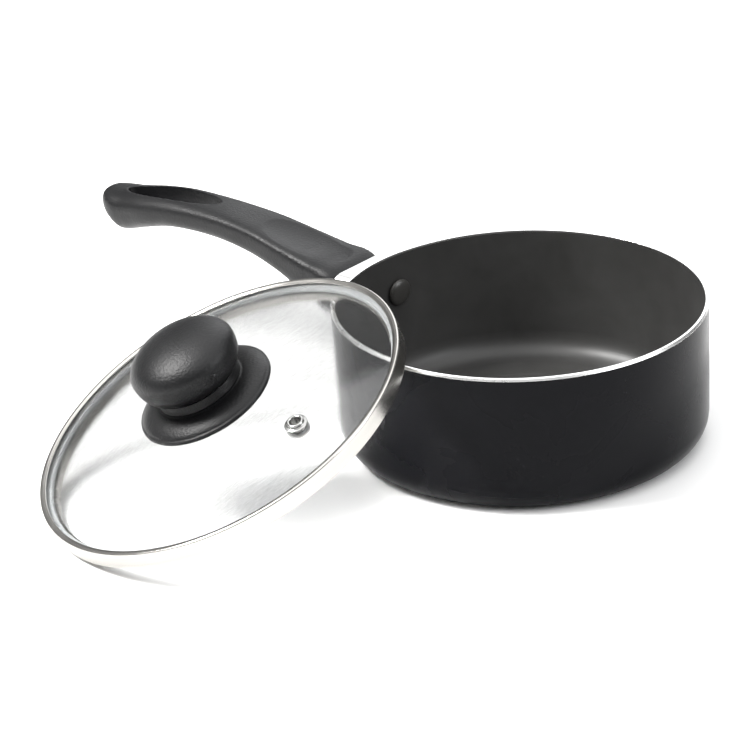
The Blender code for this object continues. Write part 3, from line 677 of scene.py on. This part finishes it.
def makeRivets():
    inside = pan["radius"] - pan["wall"] - pan["draft"]
    seat = inside - rivet["head"] ** 2 / (2 * inside) - gap
    tail = pan["radius"] + rivet["bracketSheet"] + 2 * gap
    domeHeight = rivet["headHeight"] - rivet["headRim"]
    dome = ovalArc((0, seat - rivet["headRim"]), rivet["head"], domeHeight, 0, -90, 14)
    crown = ovalArc((0, tail), rivet["tail"], rivet["tailHeight"], 90, 0, 10)
    path = crown[:-1] + [(rivet["tail"], tail), (rivet["shank"], tail), (rivet["shank"], seat)]
    path += [(rivet["head"] - rivet["headBevel"], seat), (rivet["head"], seat - rivet["headChamfer"])]
    path += dome[1:]
    path[0] = (0, path[0][1])
    path[-1] = (0, path[-1][1])
    angle = math.asin(rivet["spacing"] / 2 / pan["radius"])
    height = Matrix.Translation((0, 0, pan["height"] - rivet["drop"]))
    flat = Matrix.Rotation(math.pi / 2, 4, "Y")
    for side, turn in (("left", -angle), ("right", angle)):
        piece = turnPiece("rivet-" + side, path, 64)
        settle(piece, height @ Matrix.Rotation(turn, 4, "Z") @ flat, 40)
        hand(piece, "pan", rivetCoat, "rivet_" + side)


makeRivets()
print("pan and rivets made")


# handle

grip = {
    "start": 0.0944, "length": 0.1581, "nose": 0.0160, "noseShape": 2.2, "noseDrop": 0.0075,
    "brow": 0.0036, "browShape": 2.44, "chin": 0.0158, "chinShape": 1.12,
    "sections": 150, "lastSection": 0.9999, "around": 96, "voxel": 0.0005, "lowerSquare": 2.6,
    # share of the length, drop of the top, drop of the bottom, half width, upper squareness
    "stations": (
        (0.000, 0.0061, 0.0272, 0.0164, 5.0),
        (0.019, 0.0045, 0.0284, 0.0174, 5.0),
        (0.114, 0.0023, 0.0240, 0.0165, 5.5),
        (0.228, -0.0006, 0.0159, 0.0150, 5.5),
        (0.342, -0.0038, 0.0108, 0.0136, 5.0),
        (0.455, -0.0057, 0.0083, 0.0129, 3.8),
        (0.582, -0.0066, 0.0078, 0.0130, 3.0),
        (0.702, -0.0062, 0.0095, 0.0136, 2.7),
        (0.796, -0.0045, 0.0133, 0.0139, 2.6),
        (0.889, -0.0020, 0.0175, 0.0130, 2.6),
        (1.000, -0.0002, 0.0179, 0.0120, 2.6),
    ),
    "slotCentre": 0.1138, "slotLength": 0.0297, "slotWidth": 0.0080,
    "thumbCentre": 0.0289, "thumbLength": 0.0225, "thumbWidth": 0.0120, "thumbDepth": 0.0018,
    "thumbRound": 0.0065, "screwDistance": 0.0140, "screwWell": 0.0042,
}


def gripValues(distance):
    # a smooth curve through the stations
    rows = np.array(grip["stations"])
    at = rows[:, 0] * grip["length"]
    slopes = np.gradient(rows[:, 1:], at, axis=0)
    i = int(np.clip(np.searchsorted(at, distance) - 1, 0, len(at) - 2))
    span = at[i + 1] - at[i]
    t = (distance - at[i]) / span
    rise = rows[i, 1:] * (1 + 2 * t) * (1 - t) ** 2 + rows[i + 1, 1:] * t ** 2 * (3 - 2 * t)
    return rise + span * (slopes[i] * t * (1 - t) ** 2 + slopes[i + 1] * t ** 2 * (t - 1))


def closing(distance, part):
    # the share of its size that the handle keeps where its end rounds off
    into = max((distance - grip["length"]) / grip[part] + 1, 0)
    return max(1 - into ** grip[part + "Shape"], 0) ** (1 / grip[part + "Shape"])


def gripSection(distance):
    top, bottom, halfWidth, square = gripValues(distance)
    tip = grip["noseDrop"]
    top = tip + (top - tip) * closing(distance, "brow")
    bottom = tip + (bottom - tip) * closing(distance, "chin")
    halfWidth *= closing(distance, "nose")
    return pan["height"] - (top + bottom) / 2, (bottom - top) / 2, halfWidth, square


def makeGrip():
    clearSelection()
    bpy.ops.mesh.primitive_cylinder_add(
        vertices=grip["around"], radius=1, depth=1, end_fill_type="NOTHING",
        rotation=(0, math.pi / 2, 0),
    )
    piece = bpy.context.object
    piece.name = "handle"
    bpy.ops.object.transform_apply(rotation=True)
    bpy.ops.object.mode_set(mode="EDIT")
    bpy.ops.mesh.select_mode(type="EDGE")
    bpy.ops.mesh.select_all(action="DESELECT")
    mesh = bmesh.from_edit_mesh(piece.data)
    for edge in mesh.edges:
        edge.select = abs(edge.verts[0].co.x - edge.verts[1].co.x) > 0.5
    bmesh.update_edit_mesh(piece.data)
    bpy.ops.mesh.subdivide(number_cuts=grip["sections"])
    mesh = bmesh.from_edit_mesh(piece.data)
    for vertex in mesh.verts:
        # stations are close together at both ends
        along = 0.5 - 0.5 * math.cos(math.pi * (vertex.co.x + 0.5))
        distance = along * grip["length"] * grip["lastSection"]
        centre, halfHeight, halfWidth, square = gripSection(distance)
        turn = math.atan2(vertex.co.z, vertex.co.y)
        power = 2 / (square if turn > 0 else grip["lowerSquare"])
        across = math.copysign(abs(math.cos(turn)) ** power, math.cos(turn))
        up = math.copysign(abs(math.sin(turn)) ** power, math.sin(turn))
        vertex.co = (grip["start"] + distance, halfWidth * across, centre + halfHeight * up)
    bmesh.update_edit_mesh(piece.data)
    bpy.ops.mesh.select_all(action="DESELECT")
    mesh = bmesh.from_edit_mesh(piece.data)
    for edge in mesh.edges:
        edge.select = edge.is_boundary
    bmesh.update_edit_mesh(piece.data)
    bpy.ops.mesh.edge_face_add()
    bpy.ops.mesh.select_all(action="SELECT")
    bpy.ops.mesh.normals_make_consistent(inside=False)
    bpy.ops.object.mode_set(mode="OBJECT")
    cutSlot(piece)
    cutThumbHollow(piece)
    cutScrewWell(piece)
    remesh = piece.modifiers.new("evenMesh", "REMESH")
    remesh.mode = "VOXEL"
    remesh.voxel_size = grip["voxel"]
    soften = piece.modifiers.new("softEdges", "SMOOTH")
    soften.factor = 0.5
    soften.iterations = 3
    applyAll(piece)
    settle(piece, angle=180)
    hand(piece, "pan", phenolic, "handle_grip")


def cutSlot(piece):
    clearSelection()
    bpy.ops.mesh.primitive_cylinder_add(
        vertices=160, radius=1, depth=0.2,
        location=(grip["start"] + grip["slotCentre"], 0, pan["height"]),
    )
    slot = bpy.context.object
    slot.scale = (grip["slotLength"], grip["slotWidth"], 1)
    bpy.ops.object.transform_apply(scale=True)
    cutWith(piece, slot)


def cutThumbHollow(piece):
    # a long ball, sunk a little into the top of the handle
    ends = [grip["thumbCentre"] + side * grip["thumbLength"] for side in (-1, 1)]
    low, high = [pan["height"] - gripValues(end)[0] for end in ends]
    slope = math.atan2(high - low, ends[1] - ends[0])
    rise = grip["thumbRound"] - grip["thumbDepth"]
    share = math.sqrt(1 - (rise / grip["thumbRound"]) ** 2)
    surface = pan["height"] - gripValues(grip["thumbCentre"])[0]
    clearSelection()
    bpy.ops.mesh.primitive_uv_sphere_add(segments=128, ring_count=64, radius=1)
    ball = bpy.context.object
    ball.scale = (grip["thumbLength"] / share, grip["thumbWidth"] / share, grip["thumbRound"])
    ball.rotation_euler.y = -slope
    ball.location = (grip["start"] + grip["thumbCentre"], 0, surface + rise)
    bpy.ops.object.transform_apply(location=True, rotation=True, scale=True)
    cutWith(piece, ball)


def cutScrewWell(piece):
    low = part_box("handle_screw")[0][2]
    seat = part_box("handle_washer")[1][2] + gap
    extra = 0.01  # the cutter goes on below the handle
    clearSelection()
    bpy.ops.mesh.primitive_cylinder_add(
        vertices=64, radius=grip["screwWell"], depth=seat - low + extra,
        location=(grip["start"] + grip["screwDistance"], 0, (seat + low - extra) / 2),
    )
    cutWith(piece, bpy.context.object)


makeGrip()
print("handle made")


# bright guard and bracket between pan and handle

guard = {
    "length": 0.0118, "halfWidth": 0.0163, "topDrop": 0.0052, "depth": 0.0222,
    "corner": 0.0042, "cornerSteps": 12, "sheet": 0.0008,
}


def makeGuard():
    start = pan["radius"] * 0.85  # the pan's circle cuts this end off
    end = pan["radius"] + gap + guard["length"]
    top = pan["height"] - guard["topDrop"]
    clearSelection()
    bpy.ops.mesh.primitive_cube_add(size=1, location=((start + end) / 2, 0, top - guard["depth"] / 2))
    piece = bpy.context.object
    piece.name = "handle-guard"
    piece.scale = (end - start, guard["halfWidth"] * 2, guard["depth"])
    bpy.ops.object.transform_apply(location=True, scale=True)
    selectFaces(piece, lambda place, normal: abs(normal.x) > 0.9)
    bpy.ops.mesh.delete(type="FACE")
    bpy.ops.mesh.select_mode(type="EDGE")
    mesh = bmesh.from_edit_mesh(piece.data)
    for edge in mesh.edges:
        edge.select = not edge.is_boundary or abs(edge.verts[0].co.x - edge.verts[1].co.x) > 0.01
    bmesh.update_edit_mesh(piece.data)
    bpy.ops.mesh.bevel(offset=guard["corner"], segments=guard["cornerSteps"], affect="EDGES")
    bpy.ops.mesh.select_all(action="SELECT")
    bpy.ops.mesh.normals_make_consistent(inside=False)
    bpy.ops.object.mode_set(mode="OBJECT")
    solid = piece.modifiers.new("sheet", "SOLIDIFY")
    solid.thickness = guard["sheet"]
    solid.offset = -1
    applyAll(piece)
    clearSelection()
    bpy.ops.mesh.primitive_cylinder_add(vertices=256, radius=pan["radius"] + gap, depth=0.3)
    cutWith(piece, bpy.context.object)
    settle(piece, angle=30)
    hand(piece, "pan", guardMetal, "flame_guard")


makeGuard()


# shares of the screw's radius, and of its head's radius and height
thread = {"halfTurns": 14, "point": 0.6, "run": 0.5, "root": 0.86}
screwHead = {"dome": 0.6, "recessLength": 1.1, "recessWidth": 0.2, "recessDepth": 0.5}


def makeScrew(name, radius, headRadius, headHeight, seat, tip):
    # pointing up, with a domed head below the seat and a cross recess
    low = seat - headHeight
    path = [(0, tip), (radius * thread["point"], tip)]
    for k in range(thread["halfTurns"]):
        height = tip - radius * thread["run"] - (tip - seat - radius) * k / thread["halfTurns"]
        path.append((radius * (1 if k % 2 else thread["root"]), height))
    path += [(radius, seat + 0.0003), (radius, seat), (headRadius - 0.0002, seat)]
    dome = headHeight * screwHead["dome"]
    path += ovalArc((0, low + dome), headRadius, dome, 0, -90, 10)
    path[-1] = (0, low)
    piece = turnPiece(name, path, 48)
    deep = headHeight * screwHead["recessDepth"]
    below = 0.001  # the cutter goes on below the head
    for turn in (0, math.pi / 2):
        clearSelection()
        bpy.ops.mesh.primitive_cube_add(size=1, location=(0, 0, low - below + deep / 2))
        slot = bpy.context.object
        slot.scale = (
            headRadius * screwHead["recessLength"], headRadius * screwHead["recessWidth"], deep + below
        )
        slot.rotation_euler.z = turn
        bpy.ops.object.transform_apply(location=True, rotation=True, scale=True)
        cutWith(piece, slot)
    return piece


def makeWasher(name, inner, outer, low, high, rounding=0.0002):
    corners = [
        (outer, high, rounding), (outer, low, rounding),
        (inner, low, rounding), (inner, high, rounding),
    ]
    return turnPiece(name, roundCorners(corners, closed=True), 64, closed=True)


gripScrew = {"radius": 0.0019, "head": 0.0036, "headHeight": 0.0024, "play": 0.0003}


def makeGripScrew():
    low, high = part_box("handle_washer")
    place = Matrix.Translation(((low[0] + high[0]) / 2, 0, 0))
    bore = gripScrew["radius"] + gripScrew["play"]
    washer = makeWasher("handle-washer", bore, gripScrew["head"], low[2], high[2])
    settle(washer, place)
    hand(washer, "pan", platedSteel, "handle_washer")
    screw = makeScrew(
        "handle-screw", gripScrew["radius"], gripScrew["head"], gripScrew["headHeight"],
        low[2] - gap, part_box("handle_screw")[1][2],
    )
    settle(screw, place)
    hand(screw, "pan", platedSteel, "handle_screw")


makeGripScrew()
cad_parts["handle_bracket"].data.materials.clear()
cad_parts["handle_bracket"].data.materials.append(platedSteel)
print("guard and screw made")


# lid: glass, ring, bead

lidGlass = {
    "radius": 0.0842, "thickness": 0.0040, "rise": 0.0116, "edgeDrop": 0.0018, "hole": 0.0040,
    "edge": 0.0010, "edgeSweep": 84, "points": 40,
}


def glassTop(radius):
    return -lidGlass["edgeDrop"] + lidGlass["rise"] * (1 - (radius / lidGlass["radius"]) ** 2)


def glassUnder(radius):
    return glassTop(radius) - lidGlass["thickness"]


vent = {
    "distance": 0.0569, "bearing": 110.5, "flange": 0.0050, "collar": 0.0037, "collarHeight": 0.0024,
    "tube": 0.0030, "bore": 0.0023, "sheet": 0.0007, "flare": 0.0040,
}


def ventMatrix():
    # square to the glass, its origin on the glass's upper face
    bearing = math.radians(vent["bearing"])
    lean = math.atan(2 * lidGlass["rise"] * vent["distance"] / lidGlass["radius"] ** 2)
    distance = vent["distance"]
    place = (distance * math.cos(bearing), distance * math.sin(bearing), glassTop(distance))
    turn = Matrix.Rotation(bearing, 4, "Z") @ Matrix.Rotation(lean, 4, "Y")
    return Matrix.Translation(place) @ turn


def makeGlassDome():
    outer, sweep = lidGlass["radius"], lidGlass["edgeSweep"]
    edgeStart = outer - lidGlass["edge"]
    radii = np.linspace(lidGlass["hole"], edgeStart, lidGlass["points"])
    edgeMiddle = (edgeStart, (glassTop(outer) + glassUnder(outer)) / 2)
    top = [(r, glassTop(r)) for r in radii]
    edge = ovalArc(edgeMiddle, lidGlass["edge"], lidGlass["thickness"] / 2, sweep, -sweep, 15)
    under = [(r, glassUnder(r)) for r in reversed(radii)]
    piece = turnPiece("glass-dome", top + edge + under, 192, closed=True)
    clearSelection()
    bpy.ops.mesh.primitive_cylinder_add(vertices=96, radius=vent["tube"] + gap, depth=0.02)
    hole = bpy.context.object
    hole.matrix_world = ventMatrix()
    bpy.ops.object.transform_apply(location=True, rotation=True)
    cutWith(piece, hole)
    settle(piece, lidMatrix, 40)
    hand(piece, "lid", glass, "lid_glass")


def makeRing():
    outer, sheet = lidRing["radius"], lidRing["sheet"]
    lip = outer - lidRing["lipWidth"]
    lipLow = glassTop(lip) + gap
    bottom = -lidRing["bandHeight"]
    skirt, depth = lidRing["skirtRadius"], lidRing["skirtDepth"]
    inside = outer - sheet
    lean = 0.0001  # keeps the pressed faces off dead level
    corners = [
        (lip, lipLow + sheet * 0.9, 0.00025),
        (lip + 0.0006, lipLow + sheet + lean, 0.0003),
        ((lip + outer) / 2, lean, 0.002),
        (outer, -lean, 0.0011),
        (outer - lean, bottom, 0.00035),
        (skirt, bottom, 0.0004),
        (skirt, -depth, 0.00025),
        (skirt - sheet, -depth, 0.00025),
        (skirt - sheet, bottom + sheet, 0.0003),
        (inside, bottom + sheet, 0.0003),
        (inside, glassTop(lidGlass["radius"]) + gap + 0.0002, 0.0004),
        (lip, lipLow, 0.00015),
    ]
    piece = turnPiece("steel-ring", roundCorners(corners, closed=True), 224, closed=True)
    settle(piece, lidMatrix, 50)
    hand(piece, "lid", ringSteel, "lid_ring")


bead = {"inset": 0.0005, "taper": 0.0002}


def makeBead():
    inner = lidRing["skirtRadius"] + gap
    outer = lidGlass["radius"] - bead["inset"]
    low = lidRing["sheet"] - lidRing["bandHeight"] + gap
    corners = [
        (outer, glassUnder(outer) - gap, 0.0002), (outer, low, 0.0002),
        (inner, low, 0.0003), (inner + bead["taper"], glassUnder(inner) - gap, 0.0003),
    ]
    piece = turnPiece("sealing-bead", roundCorners(corners, closed=True), 160, closed=True)
    settle(piece, lidMatrix)
    hand(piece, "lid", silicone, "sealing_bead")


def makeVent():
    washerTop = -lidGlass["thickness"] - gap
    washerLow = washerTop - vent["sheet"]
    flareTop = washerLow - gap
    roll = vent["collar"] - vent["bore"]
    collarLow = gap + vent["sheet"]
    rolled = (vent["bore"] + roll / 2, vent["collarHeight"] - roll / 2)
    crown = ovalArc(rolled, roll / 2, roll / 2, 180, 0, 16)
    path = crown + roundCorners([
        (vent["collar"], vent["collarHeight"] - roll / 2 - 0.0002, 0),
        (vent["collar"], collarLow, 0.0003),
        (vent["flange"], collarLow - 0.0002, 0.0003),
        (vent["flange"], gap, 0.0002),
        (vent["tube"], gap, 0),
        (vent["tube"], flareTop, 0),
        (vent["flare"], flareTop, 0.0002),
        (vent["flare"], flareTop - vent["sheet"], 0.0002),
        (vent["bore"], flareTop - vent["sheet"] * 1.4, 0.0003),
        (vent["bore"], vent["collarHeight"] - roll / 2 - 0.0003, 0),
    ])
    eyelet = turnPiece("steam-vent", path, 80, closed=True)
    place = lidMatrix @ ventMatrix()
    settle(eyelet, place)
    hand(eyelet, "lid", polishedSteel, "vent_eyelet")
    bore = vent["tube"] + gap
    washer = makeWasher("vent-washer", bore, vent["flange"], washerLow, washerTop, rounding=0.00015)
    settle(washer, place)
    hand(washer, "lid", platedSteel, "vent_washer")


makeGlassDome()
makeRing()
makeBead()
makeVent()
print("lid made")


# knob

knob = {
    "radius": 0.0241, "waist": 0.0183, "neck": 0.0192, "neckHeight": 0.0049, "underside": 0.0105,
    "dome": 0.0113, "base": 0.0305, "baseEdge": 0.0019, "edgeRound": 0.0007, "plateau": 0.0042,
    "flankInset": 0.0012, "flankLift": 0.0003, "flankSteps": 24, "acrossPower": 0.9, "upPower": 1.4,
    "screw": 0.0024, "screwHead": 0.0050, "screwHeadHeight": 0.0030, "screwReach": 0.0100,
    "insert": 0.0046, "insertLength": 0.0120, "gasket": 0.0090, "gasketThick": 0.0010,
    "washer": 0.0085, "washerThick": 0.0008,
}


def knobSeat():
    return glassTop(knob["base"]) + gap + knob["baseEdge"] + knob["plateau"] + gap


def makeKnobBase():
    plateau = knobSeat() - gap
    edgeLow = glassTop(knob["base"]) + gap
    edgeTop = edgeLow + knob["baseEdge"]
    bore = knob["screw"] + gap
    start = (knob["base"] - knob["flankInset"], edgeTop + knob["flankLift"])
    rise = plateau - 0.0004 - start[1]
    reach = start[0] - (knob["neck"] + 0.0004)
    flank = []
    for k in range(knob["flankSteps"] + 1):
        a = math.pi / 2 * (1 - k / knob["flankSteps"])
        across = reach * (1 - math.cos(a)) ** knob["acrossPower"]
        flank.append((start[0] - across, start[1] + rise * math.sin(a) ** knob["upPower"]))
    pad = knob["gasket"] + gap
    seat = glassTop(0) + 2 * gap + knob["gasketThick"]
    inner = [(r, glassTop(r) + gap) for r in np.linspace(knob["base"] - 0.0006, pad + 0.0008, 16)]
    path = [(bore, plateau), (knob["neck"] - 0.0003, plateau), (knob["neck"], plateau - 0.0001)] + flank
    edge = knob["edgeRound"]
    path += ovalArc((knob["base"] - edge, edgeTop - edge), edge, edge, 70, 0, 6)
    path += [(knob["base"], edgeLow + 0.0004), (knob["base"] - 0.0002, edgeLow + 0.0001)] + inner
    path += [(pad, seat), (bore, seat)]
    piece = turnPiece("knob-base", path, 160, closed=True)
    settle(piece, lidMatrix, 40)
    hand(piece, "lid", phenolic, "knob_base")


def makeKnobCap():
    seat = knobSeat()
    neckTop = seat + knob["neckHeight"]
    widest = neckTop + knob["underside"]
    cavity = knob["insert"] + gap
    cavityTop = seat + knob["insertLength"] + 2 * gap
    dome = ovalArc((0, widest), knob["radius"], knob["dome"], 90, 0, 40)
    dome[0] = (0, widest + knob["dome"])
    overhang = knob["radius"] - knob["waist"]
    under = ovalArc((knob["waist"], widest), overhang, knob["underside"], 0, -90, 20)[1:]
    neck = roundCorners([
        (knob["waist"], neckTop, 0),
        (knob["waist"], neckTop - 0.0006, 0.0002),
        (knob["neck"] - 0.0003, neckTop - 0.0008, 0.0003),
        (knob["neck"], seat, 0.0004),
        (cavity, seat, 0.0002),
        (cavity, cavityTop, 0),
        (0, cavityTop, 0),
    ])
    piece = turnPiece("knob", dome + under + neck[1:], 160)
    settle(piece, lidMatrix, 40)
    hand(piece, "lid", phenolic, "knob_cap")


def makeKnobHardware():
    seat = knobSeat()
    thread = knob["screw"] + 0.0003
    upper = glassTop(0) + gap
    lower = glassUnder(0) - gap
    washerTop = lower - knob["gasketThick"] - gap
    washerLow = washerTop - knob["washerThick"]
    stack = (
        ("knob-insert", knob["insert"], seat + gap, seat + gap + knob["insertLength"], brass, "brass"),
        ("knob-gasket-upper", knob["gasket"], upper, upper + knob["gasketThick"], silicone, "silicone"),
        ("knob-gasket-lower", knob["gasket"], lower - knob["gasketThick"], lower, silicone, "silicone"),
        ("knob-washer", knob["washer"], washerLow, washerTop, platedSteel, "plated_steel"),
    )
    for name, radius, low, high, material, slot in stack:
        piece = makeWasher(name, thread, radius, low, high)
        settle(piece, lidMatrix)
        hand(piece, "lid", material, name.replace("-", "_"))
    screw = makeScrew(
        "knob-screw", knob["screw"], knob["screwHead"], knob["screwHeadHeight"],
        washerLow - gap, seat + knob["screwReach"],
    )
    settle(screw, lidMatrix)
    hand(screw, "lid", platedSteel, "knob_screw")


makeKnobBase()
makeKnobCap()
makeKnobHardware()
print("knob made")


# floor, light and camera

studio = {
    "floorSize": 12, "floorColour": (0.90, 0.90, 0.895), "aim": (0.05, 0.05, 0.03),
    "horizon": 0.06, "horizonUpTo": 0.08, "sky": 0.4, "skyFrom": 0.5,
    # name, place, size, watts, colour
    "lamps": (
        ("leftSoftbox", (1.00, 0.96, 1.55), 0.60, 66, (1.0, 0.99, 0.98)),
        ("topSoftbox", (0.0, 0.15, 2.00), 3.6, 60, (1.0, 1.0, 1.0)),
        ("backSoftbox", (0.75, -1.35, 1.00), 1.4, 10, (0.98, 0.99, 1.0)),
        ("rightSoftbox", (-1.35, -0.35, 0.80), 1.0, 12, (0.97, 0.98, 1.0)),
    ),
}


def makeFloor():
    clearSelection()
    bpy.ops.mesh.primitive_plane_add(size=studio["floorSize"], location=(0, 0, 0))
    floor = bpy.context.object
    floor.name = "floor"
    bpy.ops.object.mode_set(mode="EDIT")
    bpy.ops.mesh.subdivide(number_cuts=8)
    bpy.ops.object.mode_set(mode="OBJECT")
    finish = Finish("paleFloor")
    smudges = finish.group("smudges", Spread=3)
    pale = studio["floorColour"]
    finish.feed(
        Base_Color=finish.blend(smudges.outputs["Mask"], pale, tuple(v * 0.99 for v in pale)),
        Roughness=finish.spread(smudges.outputs["Mask"], low=0.75, high=0.8),
    )
    floor.data.materials.append(finish.material)


def makeLights():
    world = bpy.data.worlds.new("studio")
    bpy.context.scene.world = world
    world.use_nodes = True
    tree = world.node_tree
    background = tree.nodes["Background"]
    background.inputs["Color"].default_value = (1, 1, 1, 1)
    direction = addNode(tree, "ShaderNodeTexCoord", (-900, 0))
    split = addNode(tree, "ShaderNodeSeparateXYZ", (-700, 0))
    strength = addNode(tree, "ShaderNodeMapRange", (-400, 0))  # dark walls under a bright ceiling
    for label, key in (
        ("From Min", "horizonUpTo"), ("From Max", "skyFrom"), ("To Min", "horizon"), ("To Max", "sky"),
    ):
        strength.inputs[label].default_value = studio[key]
    tree.links.new(direction.outputs["Generated"], split.inputs[0])
    tree.links.new(split.outputs["Z"], strength.inputs["Value"])
    tree.links.new(strength.outputs["Result"], background.inputs["Strength"])
    aim = Vector(studio["aim"])
    for name, place, size, watts, colour in studio["lamps"]:
        bpy.ops.object.light_add(type="AREA", location=place)
        lamp = bpy.context.object
        lamp.name = name
        lamp.data.shape = "DISK"
        lamp.data.size = size
        lamp.data.energy = watts
        lamp.data.color = colour
        lamp.rotation_euler = (aim - Vector(place)).to_track_quat("-Z", "Y").to_euler()


camera = {
    "place": (-0.8041, 0.9930, 0.6194), "heading": -48.09, "pitch": -24.72, "roll": -3.29,
    "lens": 153.6, "sensor": 36,
}


def makeCamera():
    heading, pitch, roll = (math.radians(camera[key]) for key in ("heading", "pitch", "roll"))
    level = math.cos(pitch)
    forward = Vector((math.cos(heading) * level, math.sin(heading) * level, math.sin(pitch)))
    right = forward.cross(Vector((0, 0, 1))).normalized()
    up = right.cross(forward)
    cameraX = right * math.cos(roll) + up * math.sin(roll)
    cameraY = up * math.cos(roll) - right * math.sin(roll)
    turn = Matrix((cameraX, cameraY, -forward)).transposed()
    bpy.ops.object.camera_add(location=camera["place"], rotation=turn.to_euler())
    viewer = bpy.context.object
    viewer.name = "camera"
    viewer.data.lens = camera["lens"]
    viewer.data.sensor_width = camera["sensor"]
    bpy.context.scene.camera = viewer


makeFloor()
makeLights()
makeCamera()
bpy.context.scene.view_settings.view_transform = "Standard"
print("studio made")
